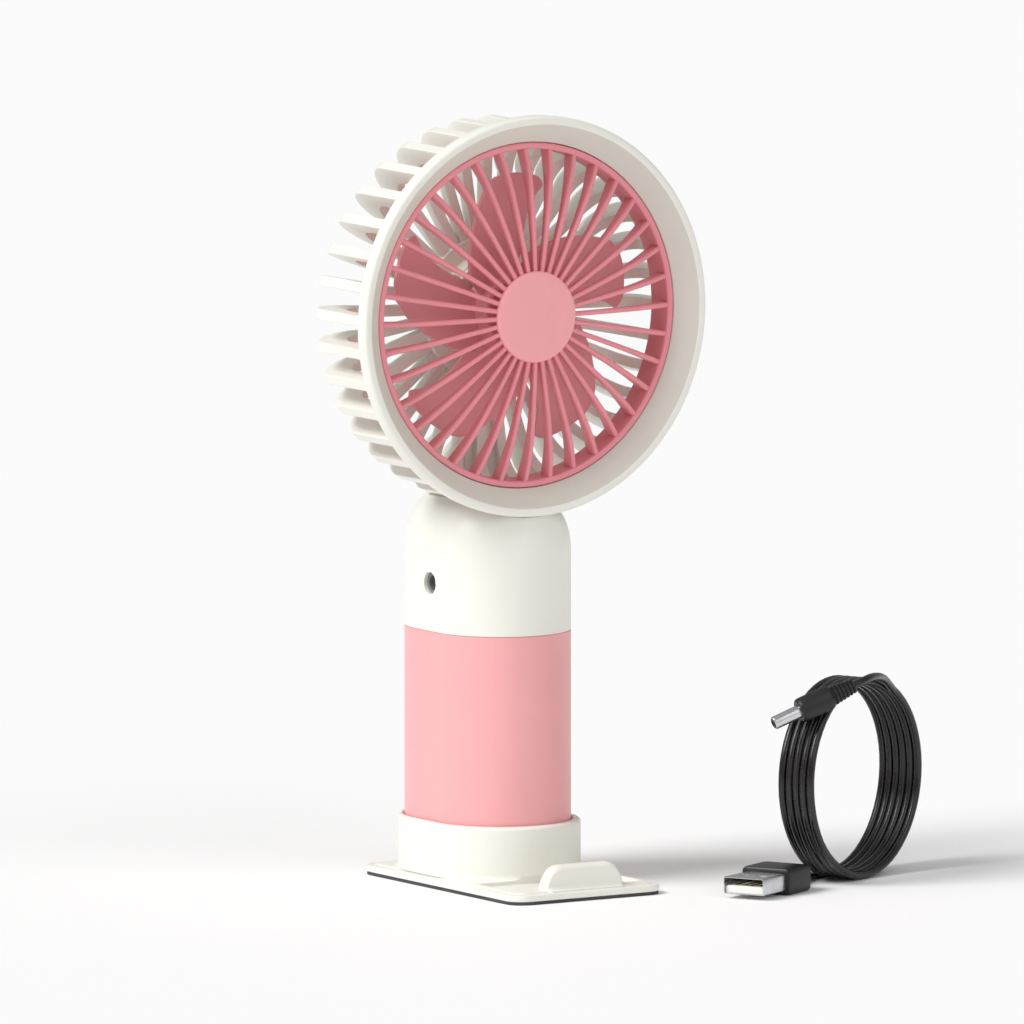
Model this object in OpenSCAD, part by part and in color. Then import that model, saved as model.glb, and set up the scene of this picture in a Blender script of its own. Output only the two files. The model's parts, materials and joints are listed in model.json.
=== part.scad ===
// Handheld battery fan in its dock stand, with its charging lead coiled beside it.
// Millimetres, +Z up. The front of the fan faces -Y. The origin is on the table, under the
// middle of the handle.

/* [Handle] */
// Width of the handle, side to side; both ends of its section are half round
handle_w = 37.2; // [37:0.1:38]
// Depth of the handle, front to back
handle_d = 49.2; // [49:0.1:50]
// Wall of the handle sleeve and of the neck
wall = 2; // [1.8:0.1:2.2]
// Height of the seam between the sleeve and the neck
seam_z = 66.6; // [64:0.2:68]
// Height at which the neck starts to round over
dome_z = 87.7; // [87:0.1:89]

/* [Head] */
// Height of the fan's axis above the table
head_z = 150.2; // [150:0.1:151]
// Outside diameter of the front bezel
bezel_d = 105; // [105:0.1:106]
// How far the bezel's rim stands ahead of the handle's axis
rim_f = 24; // [24:0.1:25]
// Length of the bezel's outside band
band = 3.8; // [3:0.1:4]
// Outside diameter of the grille's ring
grille_d = 90.4; // [90:0.1:90.8]
// Depth of the grille's ring
grille_depth = 8; // [7.5:0.1:8]
// Number of spokes in the front grille
spokes = 36; // [30:2:36]
// Thickness of one spoke
spoke_t = 1.3; // [1.1:0.1:1.4]
// Diameter of the round badge on the grille's hub
badge_d = 24; // [22:1:25]
// Number of ribs in the rear cage
ribs = 36; // [30:2:36]
// Thickness of one rib
rib_t = 2.8; // [2.4:0.1:2.9]
// How far the cage's back stands behind the handle's axis
cage_b = 4.6; // [4.3:0.1:4.8]

/* [Impeller] */
// Number of blades
blades = 5; // [3:1:6]
// Diameter over the blade tips
impeller_d = 73; // [60:1:74]
// Pitch of the blades
pitch = 13; // [11:1:15]
// Angle by which the tips lean back from the roots
blade_sweep = 25; // [20:1:28]

/* [Power] */
// Height of the charging jack
jack_z = 79.2; // [79:0.1:80]
// Diameter of the hole in the neck for the charging jack
jack_hole_d = 5.8; // [5.6:0.1:6]
// Height of the power button
button_z = 84; // [83:0.5:85]
// Diameter of the power button
button_d = 8.6; // [7:0.2:9]
// Diameter of the battery cell
cell_d = 18.4; // [18:0.1:18.5]
// Length of the battery cell
cell_h = 65.2; // [64:0.1:65.2]

/* [Dock] */
// Width of the dock's plate
plate_w = 46.6; // [44:0.2:50]
// How far the plate reaches ahead of the handle's axis
plate_f = 50.8; // [50:0.2:54]
// How far the plate reaches behind the handle's axis
plate_b = 26.3; // [26.2:0.1:30]
// Corner radius of the plate
plate_r = 5; // [3:0.5:8]
// Height of the plate's top above the table
plate_h = 3; // [2.8:0.1:3]
// Height of the collar that holds the handle
collar_h = 16.8; // [14:0.2:20]
// Width of the lip that holds a phone in the slot
lip_w = 23.6; // [20:0.2:26]
// Height of that lip above the table
lip_h = 9.3; // [8:0.1:11]

/* [Lead] */
// Diameter of the cord
cord_d = 2.1; // [2:0.1:2.2]
// Outside diameter of the coil
coil_d = 53; // [52:0.5:53]
// Turns in the coil
coil_turns = 5.42; // [4.42:1:6.42]
// Coil's place to the right of the handle's axis
coil_x = 80.5; // [78:0.5:90]
// Coil's place ahead of the handle's axis
coil_f = 49; // [45:1:60]
// How far the coil's axis is turned from straight ahead
coil_yaw = 25; // [15:1:35]

/* [Hidden] */
$fn = 96;
eps = 0.05;

// Handle and neck
fit_gap = 0.35; // between the handle and the dock's collar
seat_z = 3.2; // floor of the dock's socket
sleeve_z = 4.6; // lower end of the sleeve
lap = 2.15; // inset of what slips inside the sleeve
cap_top = 6.2;
cell_z = 8;
cell_top = cell_z + cell_h;
shelf_z = cell_top + 0.6; // underside of the chassis's top shelf
shelf_t = 1.2;
screw_y = 17; // the cap's screws, ahead of and behind the axis
end_y = (handle_d - handle_w) / 2; // centre of each half-round end

// Head: f is a distance ahead of the handle's axis, r a distance from the fan's axis
bezel_r = bezel_d / 2;
grille_r = grille_d / 2;
grille_f = rim_f - 4.8; // front plane of the grille's ring
grille_b = grille_f - grille_depth;
seat_r = grille_r + 0.2; // the bezel's bore round the grille
bezel_in = bezel_r - 1.8;
cage_r = bezel_in - 0.2;
cage_neck_r = seat_r + 1.8; // inside of the cage beside the bezel's bore
cage_in = grille_r + 0.4;
rib_back_t = 3.3;
lobe_r = 8; // round back corner of each rib
lobe_b = 8.5; // how far that corner stands behind the handle's axis
rib_turn = 1.5; // the ribs stand this far round from the spokes
hub_plate_r = 19;
cup_r = 14.3;
cup_bore_r = 12.3;
cup_back = -11;
cup_front = 3.4;
arm_t = 5;
arm_w = 10;
saddle_gap = 0.3;
pad_half = 9; // half width of the cage's foot on the neck
foot_screws = [1.5, 8]; // the foot's screws, by f

// Motor
can_r = 12.15;
can_back = -7.4;
shaft_r = 1;
clamp_r = 15.4;
hub_r = 11;
hub_back = 6.4;
hub_front = 16.4;
blade_back = 6.2;
blade_front = 14.2;

// Board and switch
board_y = 1.8;
board_t = 1.2;
board_back = board_y + board_t;
board_top = 95;
jack_y = -1.3;
lens_z = 92.5;

// Dock
pad_t = 0.8;
border = 2.2;
lip_y = -48.2;
slot_y = [-43.6, -29.4];

// Lead
cord_r = cord_d / 2;
coil_r = coil_d / 2;
coil_w = coil_turns * (cord_d + 0.05) + cord_d;
strand_r = coil_r - cord_r;
plug_yaw = 143;
plug_drop = 22;
plug_at = [-13.2, -10, 52.8];
usb_at = [-25, 1.7, 0];
usb_yaw = 184;
usb_z = 3.5; // height of the USB plug's middle
plug_route = [[12.7, -5.8, 48.5], [9.2, -6.6, 50.6], [5.2, -7.8, 52.4], [1, -9.1, 53.5], [-3.2, -10.3, 54.1],
    [-7, -11, 54.2], [-10.2, -10.9, 53.7], plug_at];
usb_route = [[0, 5.8, 1.05], [-6, 5.8, 1.05], [-11, 5.3, 1.3], [-16, 4, 2], [-20.5, 2.8, 2.9],
    [-25, 1.7, usb_z]];
motor_wire = [[3.7, -7.4, -10.1], [2.6, -7.9, -10.1], [1.5, -9.2, -10.1], [1.1, -10.9, -10.1],
    [1.1, -12.5, -9.9], [1.1, -13.2, -8.2], [1.1, -14, -6.2], [1.1, -17, -5.7], [1.1, -30, -5.7],
    [1.1, -44, -5.7], [1.1, -53, -5.7], [2.5, -57, -4.8], [4, -60, -3.8]];
cell_wires = [
    [[-2, -11, 8.4], [-2, -11.2, 14], [-2, -11.2, 40], [-2, -11.2, 68], [-2, -11.2, 74], [-3, -8, 78],
        [-4, -3, 80], [-5, 0.9, 79]],
    [[2, -11, 73.6], [2, -11.5, 76], [3, -9, 80], [4, -4, 82], [5, 0.9, 81]],
];

function unit(v) = v / norm(v);

// Points of a smooth curve through a route
function spline(p, steps) = [
    for (i = [0:len(p) - 2])
        for (k = [0:steps - 1])
            let (a = p[max(i - 1, 0)], b = p[i], c = p[i + 1], d = p[min(i + 2, len(p) - 1)], t = k / steps)
            b + t / 2 * (c - a + t * (2 * a - 5 * b + 4 * c - d + t * (3 * b - a - 3 * c + d))),
    p[len(p) - 1],
];

// A round tube along a route; side is any direction that the route never takes
module tube(route, r, side, steps = 2) {
    sides = 8;
    p = spline(route, steps);
    n = len(p);
    points = [
        for (i = [0:n - 1])
            let (t = unit(p[min(i + 1, n - 1)] - p[max(i - 1, 0)]), u = unit(cross(t, side)), v = cross(t, u))
            for (j = [0:sides - 1]) p[i] + r * (cos(j * 360 / sides) * u + sin(j * 360 / sides) * v),
    ];
    walls = [
        for (i = [0:n - 2])
            for (j = [0:sides - 1])
                let (a = i * sides + j, b = i * sides + (j + 1) % sides)
                [a, b, b + sides, a + sides],
    ];
    start = [for (j = [sides - 1:-1:0]) j];
    finish = [for (j = [0:sides - 1]) (n - 1) * sides + j];
    polyhedron(points = points, faces = concat([start], walls, [finish]));
}

// Handle section, moved in from its outside by inset
module section(inset = 0) {
    square([handle_w - 2 * inset, 2 * end_y], center = true);
    for (s = [-1, 1]) translate([0, s * end_y]) circle(r = handle_w / 2 - inset);
}

// Half of the upright outline of the neck, from its axis to its side
module neck_half(inset, bottom) {
    r = handle_w / 2 - inset;
    translate([0, bottom]) square([r, dome_z - bottom]);
    intersection() {
        translate([0, dome_z]) circle(r = r);
        translate([0, dome_z]) square([r, r]);
    }
}

// Solid neck with its domed top
module neck_solid(inset, bottom) {
    rotate([90, 0, 0]) translate([0, 0, -end_y]) linear_extrude(2 * end_y) {
        neck_half(inset, bottom);
        mirror([1, 0]) neck_half(inset, bottom);
    }
    translate([0, end_y, 0]) rotate_extrude(angle = 180) neck_half(inset, bottom);
    translate([0, -end_y, 0]) rotate([0, 0, 180]) rotate_extrude(angle = 180) neck_half(inset, bottom);
}

// The head's own frame: its z axis is the fan's axis and points ahead
module on_head() {
    translate([0, 0, head_z]) rotate([90, 0, 0]) children();
}

// Space that the head takes out of the neck, grown by extra
module head_space(extra = 0) {
    on_head() {
        translate([0, 0, -lobe_b - 0.5 - extra])
            cylinder(r = cage_r + saddle_gap + extra, h = rim_f - band + lobe_b + 0.5 + extra);
        translate([0, 0, rim_f - band - saddle_gap - extra])
            cylinder(r = bezel_r + saddle_gap + extra, h = 3 * band + extra);
    }
}

module ring(r, bore, h) {
    difference() {
        cylinder(r = r, h = h);
        translate([0, 0, -eps]) cylinder(r = bore, h = h + 2 * eps);
    }
}

// Flat outline with round corners
module round_rect(x0, y0, x1, y1, r) {
    translate([x0 + r, y0]) square([x1 - x0 - 2 * r, y1 - y0]);
    translate([x0, y0 + r]) square([x1 - x0, y1 - y0 - 2 * r]);
    for (x = [x0 + r, x1 - r]) for (y = [y0 + r, y1 - r]) translate([x, y]) circle(r = r);
}

// Screw that stands on its point along +Z, with its head at the bottom
module screw(shank_r, length, head_r, head_h) {
    cylinder(r = head_r, h = head_h);
    cylinder(r = shank_r, h = head_h + length);
}

// ---- Dock ----

module plate_outline(inset = 0) {
    round_rect(-plate_w / 2 + inset, -plate_f + inset, plate_w / 2 - inset, plate_b - inset, plate_r - inset);
}

module collar_outline() {
    r = handle_w / 2 + 1.8;
    translate([-r, -6.55 - 0.85]) square([2 * r, 2 * 6.55]);
    for (s = [-1, 1]) translate([0, s * 6.55 - 0.85]) circle(r = r);
}

// Phone lip: rounded over its top and at both ends
module phone_lip() {
    depth = slot_y[0] - lip_y;
    top_r = 2;
    end_r = 4.5;
    intersection() {
        translate([-lip_w / 2, 0, 0]) rotate([90, 0, 90]) linear_extrude(lip_w) {
            translate([lip_y, plate_h - 1]) square([depth, lip_h - top_r - plate_h + 1]);
            translate([lip_y + top_r, plate_h]) square([depth - 2 * top_r, lip_h - plate_h]);
            for (y = [lip_y + top_r, slot_y[0] - top_r]) translate([y, lip_h - top_r]) circle(r = top_r);
        }
        translate([0, slot_y[0] + 1, 0]) rotate([90, 0, 0]) linear_extrude(depth + 2) {
            translate([-lip_w / 2, 0]) square([lip_w, lip_h - end_r]);
            translate([-lip_w / 2 + end_r, 0]) square([lip_w - 2 * end_r, lip_h]);
            for (s = [-1, 1]) translate([s * (lip_w / 2 - end_r), lip_h - end_r]) circle(r = end_r);
        }
    }
}

module dock_base() {
    color("ivory") {
        difference() {
            union() {
                translate([0, 0, pad_t]) linear_extrude(plate_h - 0.4 - pad_t) plate_outline();
                translate([0, 0, pad_t]) linear_extrude(plate_h - pad_t) plate_outline(border);
                translate([0, 0, pad_t]) linear_extrude(collar_h - pad_t) collar_outline();
            }
            translate([0, 0, seat_z]) linear_extrude(collar_h) section(-fit_gap);
            translate([-20, slot_y[0], plate_h - 1.1]) cube([40, slot_y[1] - slot_y[0], 2]);
        }
        phone_lip();
    }
}

module dock_pad() {
    color("dimgray") linear_extrude(pad_t) plate_outline(0.2);
}

// ---- Handle ----

module handle_sleeve() {
    color("lightpink") translate([0, 0, sleeve_z]) linear_extrude(seam_z - sleeve_z) difference() {
        section();
        section(wall);
    }
}

module bottom_cap() {
    color("lightpink") difference() {
        union() {
            translate([0, 0, seat_z]) linear_extrude(sleeve_z - seat_z) section();
            translate([0, 0, seat_z]) linear_extrude(cap_top - seat_z) section(lap);
        }
        for (s = [-1, 1]) translate([0, s * screw_y, seat_z - eps]) {
            cylinder(r = 2.1, h = 1.7);
            cylinder(r = 1.05, h = 5);
        }
    }
}

module cap_screws() {
    color("silver") for (s = [-1, 1]) translate([0, s * screw_y, seat_z + 0.2]) screw(0.9, 8, 1.9, 1.4);
}

module battery_cell() {
    color("steelblue") translate([0, 0, cell_z]) cylinder(r = cell_d / 2, h = cell_h);
}

module battery_tabs() {
    color("silver") for (z = [cell_z - 0.2, cell_top]) translate([-3, -10.5, z]) cube([6, 15, 0.2]);
}

module battery_leads() {
    color("firebrick") for (w = cell_wires) tube(w, 0.6, [1, 0.2, 0.1]);
}

// Spine inside the handle: cell trough, screw bosses and the posts that carry the board
module chassis() {
    color("gainsboro") difference() {
        union() {
            translate([-12, -4, cap_top + 0.2]) cube([24, 16, shelf_z - cap_top]);
            translate([0, 0, cap_top + 0.2]) linear_extrude(cell_z - 0.2 - cap_top - 0.2) section(wall + 0.3);
            for (s = [-1, 1]) translate([0, s * screw_y, cap_top + 0.2]) cylinder(r = 2.6, h = 8.4);
            translate([-14.6, -4, shelf_z]) cube([29.2, 16, shelf_t]);
            for (x = [-14.6, 10.6]) translate([x, board_back + 0.05, shelf_z]) cube([4, 3.4, 92 - shelf_z]);
        }
        translate([0, 0, cell_z - 0.2]) cylinder(r = cell_d / 2 + 0.15, h = shelf_z - cell_z + 0.2);
        translate([-3.2, -11, cell_z - 0.3]) cube([6.4, 15.8, 0.4]);
        for (s = [-1, 1]) translate([0, s * screw_y, 0]) cylinder(r = 0.95, h = 13.5);
        for (s = [-1, 1]) translate([s * 12.4, board_back - 1, 90]) rotate([-90, 0, 0])
            cylinder(r = 0.85, h = 4);
    }
}

// ---- Board, jack and switch ----

module circuit_board() {
    color("seagreen") difference() {
        translate([-13.4, board_y, 75.4]) cube([26.8, board_t, board_top - 75.4]);
        for (s = [-1, 1]) translate([s * 12.4, board_y - 1, 90]) rotate([-90, 0, 0]) cylinder(r = 0.9, h = 4);
    }
}

module board_parts() {
    color("dimgray") {
        translate([1, board_y - 1.5, 86]) cube([5, 1.5, 4]);
        translate([-4.5, board_y - 1.2, 87]) cube([3.2, 1.2, 2.6]);
        translate([7.5, board_y, 83]) rotate([90, 0, 0]) cylinder(r = 2.4, h = 4);
        translate([-0.8, board_back, lens_z - 0.6]) cube([1.6, 0.9, 1.2]);
        translate([5, board_back, 77]) cube([3, 1.2, 1.6]);
    }
}

module board_screws() {
    color("silver") for (s = [-1, 1])
        translate([s * 12.4, board_y - 1.1, 90]) rotate([-90, 0, 0]) screw(0.8, 3.8, 1.4, 1.05);
}

module tact_switch() {
    color("dimgray") translate([0, board_back, button_z]) difference() {
        translate([-3, 0, -3]) cube([6, 3.5, 6]);
        translate([0, 1.7, 0]) rotate([-90, 0, 0]) cylinder(r = 1.8, h = 3);
    }
}

module switch_plunger() {
    color("black") translate([0, board_back + 2.3, button_z]) rotate([-90, 0, 0]) cylinder(r = 1.7, h = 2);
}

module power_button() {
    face_y = handle_d / 2 + 0.6;
    stem_y = board_back + 4.3;
    color("ivory") translate([0, 0, button_z]) rotate([-90, 0, 0]) difference() {
        union() {
            translate([0, 0, stem_y]) cylinder(r = 1.5, h = 15);
            translate([0, 0, 20]) cylinder(r = 5.2, h = 1.1);
            translate([0, 0, 20]) cylinder(r = button_d / 2, h = face_y - 20);
        }
        translate([0, 0, face_y + 9.5]) sphere(r = 10);
    }
}

module indicator_lens() {
    color("white") translate([0, 20.4, lens_z]) rotate([-90, 0, 0]) cylinder(r = 1.2, h = 3.2);
}

module jack_housing() {
    x = -handle_w / 2 + 1; // the nose ends this far in from the neck's side
    color("dimgray") translate([x, jack_y, jack_z]) rotate([0, 90, 0]) difference() {
        union() {
            cylinder(r = 2.75, h = 2);
            translate([-3.2, -3, 1.35]) cube([6.4, 6, 9]);
        }
        translate([0, 0, -eps]) cylinder(r = 1.95, h = 8.8);
    }
}

module jack_pin() {
    x = -handle_w / 2 + 1.8;
    color("silver") translate([x, jack_y, jack_z]) rotate([0, 90, 0]) cylinder(r = 0.65, h = 7.9);
}

// ---- Neck ----

module neck_shell() {
    color("ivory") difference() {
        union() {
            difference() {
                neck_solid(0, seam_z);
                difference() {
                    neck_solid(wall, seam_z - 1);
                    head_space(wall);
                }
            }
            translate([0, 0, seam_z - 6]) linear_extrude(8) difference() {
                section(lap);
                section(lap + 1.4);
            }
            translate([0, 0, seam_z]) linear_extrude(2) difference() {
                section(wall - 0.2);
                section(lap + 0.2);
            }
        }
        head_space();
        translate([-arm_w / 2 - 0.3, cage_b - 1, head_z - 54]) cube([arm_w + 0.6, arm_t + 1.3, 14]);
        translate([-handle_w, jack_y, jack_z]) rotate([0, 90, 0]) cylinder(r = jack_hole_d / 2, h = handle_w);
        translate([0, 0, button_z]) rotate([-90, 0, 0]) cylinder(r = button_d / 2 + 0.25, h = handle_d);
        translate([0, 0, lens_z]) rotate([-90, 0, 0]) cylinder(r = 1.3, h = handle_d);
        for (f = foot_screws) translate([0, -f, head_z - bezel_r - 4]) cylinder(r = 1.3, h = 8);
    }
}

module head_screws() {
    color("silver") for (f = foot_screws)
        translate([0, -f, head_z - cage_r - saddle_gap - wall - 1.7]) screw(1.1, 6, 2, 1.6);
}

// ---- Rear cage ----

// Outline of one rib in the plane through the fan's axis: x is r and y is f
module rib_profile() {
    bend_in = 12;
    front = rim_f - band;
    slope = 0.895;
    difference() {
        union() {
            translate([hub_plate_r - 1, -cage_b]) square([cage_r - lobe_r - hub_plate_r + 1, front + cage_b]);
            translate([hub_plate_r, lobe_r - lobe_b]) square([cage_r - hub_plate_r, front + lobe_b - lobe_r]);
            translate([cage_r - lobe_r, lobe_r - lobe_b]) circle(r = lobe_r);
        }
        translate([0, rib_back_t - cage_b + bend_in]) square([cage_in, rim_f]);
        translate([0, rib_back_t - cage_b]) square([cage_in - bend_in, rim_f]);
        translate([cage_in - bend_in, rib_back_t - cage_b + bend_in]) circle(r = bend_in);
        polygon([[0, 13.6], [cage_in, 13.6], [cage_neck_r, 15.2], [cage_neck_r, 40], [0, 40]]);
        polygon([[cage_neck_r - 1, grille_f - 1.6],
            [cage_r + 1, grille_f - 1.6 + slope * (cage_r + 2 - cage_neck_r)],
            [cage_r + 1, 40], [cage_neck_r - 1, 40]]);
    }
}

module rear_cage() {
    color("ivory") difference() {
        union() {
            on_head() {
                for (i = [0:ribs - 1]) rotate([0, 0, i * 360 / ribs - rib_turn]) rotate([90, 0, 0])
                    translate([0, 0, -rib_t / 2]) linear_extrude(rib_t) rib_profile();
                translate([0, 0, -cage_b - 0.5]) cylinder(r = hub_plate_r, h = rib_back_t + 0.9);
                translate([0, 0, cup_back]) cylinder(r = cup_r, h = cup_front - cup_back);
                for (i = [0:2]) rotate([0, 0, 30 + 120 * i]) translate([clamp_r, 0, -6])
                    cylinder(r = 2.4, h = cup_front + 5.9);
                intersection() {
                    difference() {
                        translate([0, 0, -cage_b]) cylinder(r = cage_r + saddle_gap - 0.1, h = cage_b + 10.9);
                        translate([0, 0, -cage_b - 1]) cylinder(r = cage_in + 0.5, h = 30);
                    }
                    translate([-pad_half, -60, -10]) cube([2 * pad_half, 30, 30]);
                }
            }
            translate([-arm_w / 2, cage_b - 1, head_z - 52]) cube([arm_w, arm_t + 1, 40]);
        }
        on_head() {
            translate([0, 0, cup_back + 1.8]) cylinder(r = cup_bore_r, h = 30);
            translate([0, 0, cup_back - 1]) cylinder(r = 9, h = 5);
            translate([-2.4, -14.6, cup_back - 1]) cube([4.8, 8, 3.2]);
            translate([-2.4, -14.6, cup_back - 1]) cube([4.8, 3.7, 7.4]);
            translate([-2.2, -70, -6.9]) cube([4.4, 58, 2.3]);
            for (i = [0:2]) rotate([0, 0, 30 + 120 * i]) translate([clamp_r, 0, -4.5])
                cylinder(r = 0.85, h = 20);
            for (f = foot_screws) translate([0, -46.6, f]) rotate([90, 0, 0]) cylinder(r = 1.15, h = 20);
        }
    }
}

// Hoop that ties the ribs' front ends together, tucked under the bezel
module cage_hoop() {
    front = rim_f - band + eps;
    color("ivory") on_head() rotate_extrude()
        polygon([[cage_r - 1.5, front], [cage_r - 0.2, front], [cage_r - 0.2, front + 1.1]]);
}

module rear_cap() {
    color("ivory") on_head() rotate_extrude() difference() {
        union() {
            translate([0, cup_back - 1.6]) square([cup_r - 0.4, 1.6]);
            translate([0, cup_back - 2.6]) square([cup_r - 3, 2.6]);
            translate([cup_r - 2.4, cup_back - 0.6]) circle(r = 2);
        }
        translate([0, cup_back - 1.2]) square([cup_r - 4, 3]);
        translate([0, cup_back]) square([cup_r, 3]);
    }
}

// ---- Motor ----

module motor_can() {
    color("silver") on_head() difference() {
        union() {
            translate([0, 0, can_back]) cylinder(r = can_r, h = cup_front - can_back);
            cylinder(r = 3, h = 5);
        }
        translate([0, 0, can_back - eps]) cylinder(r = can_r - 0.8, h = cup_front - can_back - 0.8);
        cylinder(r = 2.5, h = 4.8);
        cylinder(r = 1.3, h = 6);
    }
}

module motor_end_cap() {
    color("dimgray") on_head() difference() {
        union() {
            translate([0, 0, can_back - 1.5]) cylinder(r = can_r - 0.05, h = 1.5);
            translate([0, 0, can_back - 1.5]) cylinder(r = 3.2, h = 2.4);
        }
        translate([0, 0, can_back - 2]) cylinder(r = 2.2, h = 4);
    }
}

module motor_bushings() {
    color("darkgoldenrod") on_head() {
        translate([0, 0, 2]) ring(2.5, shaft_r + 0.03, 2.8);
        translate([0, 0, can_back - 1.5]) ring(2.2, shaft_r + 0.03, 2);
    }
}

module motor_magnets() {
    color("dimgray") on_head() translate([0, 0, -5]) difference() {
        ring(can_r - 0.85, 9.6, 7.2);
        for (a = [0, 90]) rotate([0, 0, 45 * a / 90 - 22.5]) translate([-2.6, -20, -1]) cube([5.2, 40, 9]);
    }
}

module motor_brushes() {
    color("darkgoldenrod") on_head() for (s = [-1, 1])
        translate([s * 3.1 - 0.3, -2, can_back + 1]) cube([0.6, 8, 1.1]);
}

module motor_terminals() {
    color("gold") on_head() for (s = [-1, 1]) translate([s * 4 - 0.8, -6.8, can_back - 3.4])
        cube([1.6, 0.3, 1.9]);
}

module motor_leads() {
    color("firebrick") on_head() for (s = [-1, 1])
        tube([for (p = motor_wire) [s * p[0], p[1], p[2]]], 0.55, [s, 0.1, 0.2]);
}

module motor_clamp() {
    color("ivory") on_head() translate([0, 0, cup_front + 0.05]) difference() {
        union() {
            cylinder(r = cup_r - 0.3, h = 1.4);
            for (i = [0:2]) rotate([0, 0, 30 + 120 * i]) translate([clamp_r, 0, 0])
                cylinder(r = 2.4, h = 1.4);
        }
        translate([0, 0, -1]) cylinder(r = 8, h = 4);
        for (i = [0:2]) rotate([0, 0, 30 + 120 * i]) translate([clamp_r, 0, -1]) cylinder(r = 0.95, h = 4);
    }
}

module clamp_screws() {
    color("silver") on_head() for (i = [0:2])
        rotate([0, 0, 30 + 120 * i]) translate([clamp_r, 0, cup_front + 2.2]) mirror([0, 0, 1])
            screw(0.8, 7, 1.6, 0.7);
}

module motor_shaft() {
    color("silver") on_head() translate([0, 0, can_back - 1.2]) cylinder(r = shaft_r, h = 22);
}

// Stack with a core, three arms and three shoes
module armature_core() {
    color("gray") on_head() translate([0, 0, -4.4]) difference() {
        union() {
            cylinder(r = 3.4, h = 5.4);
            for (i = [0:2]) rotate([0, 0, 120 * i]) {
                translate([0, -1, 0]) cube([8.2, 2, 5.4]);
                intersection() {
                    ring(9, 7.4, 5.4);
                    translate([4, -6.5, 0]) cube([6, 13, 5.4]);
                }
            }
        }
        translate([0, 0, -1]) cylinder(r = shaft_r, h = 8);
    }
}

module armature_windings() {
    color("darkorange") on_head() for (i = [0:2]) rotate([0, 0, 120 * i]) difference() {
        translate([3.9, -2.4, -5.2]) cube([2.9, 4.8, 7]);
        translate([3, -1.05, -4.5]) cube([6, 2.1, 5.6]);
    }
}

module commutator() {
    color("darkorange") on_head() translate([0, 0, can_back + 0.95]) ring(2.7, shaft_r, 1.2);
}

// ---- Impeller ----

// Edge of a blade at radius r, as an angle from the blade's pitch axis; side is -1 or 1
function blade_edge(r, side) =
    let (out = (impeller_d / 2 - r) / 20, half = min(35, 180 / blades - 1, 82 / blades + 18 * out * out))
    blade_sweep * (out - 0.4) + side * half;

// A blade seen from the front
module blade_outline() {
    rows = [for (k = [0:9]) 8 + k * (impeller_d / 2 - 6) / 9];
    low = [for (r = rows) r * [cos(blade_edge(r, -1)), sin(blade_edge(r, -1))]];
    high = [for (k = [9:-1:0]) rows[k] * [cos(blade_edge(rows[k], 1)), sin(blade_edge(rows[k], 1))]];
    polygon(concat(low, high));
}

module impeller() {
    mid = (blade_back + blade_front) / 2;
    color("palevioletred") on_head() {
        difference() {
            union() {
                translate([0, 0, hub_back]) cylinder(r = hub_r, h = hub_front - hub_back);
                intersection() {
                    translate([0, 0, blade_back]) cylinder(r = impeller_d / 2, h = blade_front - blade_back);
                    for (i = [0:blades - 1]) rotate([0, 0, 94 + i * 360 / blades]) intersection() {
                        translate([0, 0, mid]) rotate([pitch, 0, 0]) translate([0, -30, -0.7])
                            cube([50, 60, 1.4]);
                        linear_extrude(30) blade_outline();
                    }
                }
            }
            translate([0, 0, 0]) ring(hub_r - 1.4, 3.2, hub_front - 1.6);
            cylinder(r = shaft_r, h = 14);
        }
    }
}

// ---- Front of the head ----

// Half section of the bezel: x is r and y is f
module bezel_outline() {
    round_r = 1.2;
    band_back = rim_f - band;
    polygon([[seat_r, grille_f - 2.6], [seat_r + 1.5, grille_f - 2.6], [seat_r + 1.5, grille_f - 0.7],
        [bezel_in, rim_f - 2.1], [bezel_in, band_back], [bezel_r, band_back], [bezel_r, rim_f - round_r],
        [bezel_r - round_r, rim_f], [bezel_in, rim_f], [seat_r, grille_f]]);
    translate([bezel_r - round_r, rim_f - round_r]) circle(r = round_r);
}

module front_bezel() {
    color("ivory") on_head() rotate_extrude() bezel_outline();
}

// Outline of one spoke in the plane through the fan's axis
module spoke_profile() {
    front = [[badge_d / 2 - 2, 4.8], [20, 4.4], [28, 3.7], [34, 2.8], [39, 1.6], [grille_r - 1.4, -0.1]];
    back = [[grille_r - 1.4, -4.7], [39, -2.4], [34, -0.4], [28, 1.1], [20, 2.2], [badge_d / 2 - 2, 2.7]];
    translate([0, grille_f]) polygon(concat(front, back));
}

module front_grille() {
    color("palevioletred") on_head() difference() {
        union() {
            translate([0, 0, grille_b]) ring(grille_r, grille_r - 2, grille_depth);
            translate([0, 0, grille_f - 3.7]) ring(grille_r + 1.4, grille_r - 1, 1);
            translate([0, 0, grille_f + 1.8]) cylinder(r = badge_d / 2 - 0.8, h = 2.6);
            for (i = [0:spokes - 1]) rotate([0, 0, i * 360 / spokes]) rotate([90, 0, 0])
                translate([0, 0, -spoke_t / 2]) linear_extrude(spoke_t) spoke_profile();
        }
        translate([0, 0, grille_f + 4.2]) cylinder(r = badge_d / 2 + 0.1, h = 5);
        translate([0, 0, grille_f]) cylinder(r = 2.1, h = 8);
    }
}

module grille_badge() {
    color("lightpink") on_head() {
        translate([0, 0, grille_f + 4.25]) cylinder(r = badge_d / 2, h = 1.45);
        translate([0, 0, grille_f + 1.9]) cylinder(r = 2, h = 3);
    }
}

// ---- Charging lead ----

// The coil stands on its rim, its axis along this frame's y
module at_coil() {
    translate([coil_x, -coil_f, 0]) rotate([0, 0, coil_yaw]) children();
}

module lead_coil() {
    color("black") at_coil() translate([0, coil_w / 2, coil_r]) rotate([90, 0, 0])
        ring(coil_r, coil_r - cord_d, coil_w);
}

module lead_to_plug() {
    color("black") at_coil() tube(plug_route, cord_r, [0.3, 1, 0.2]);
}

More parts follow.
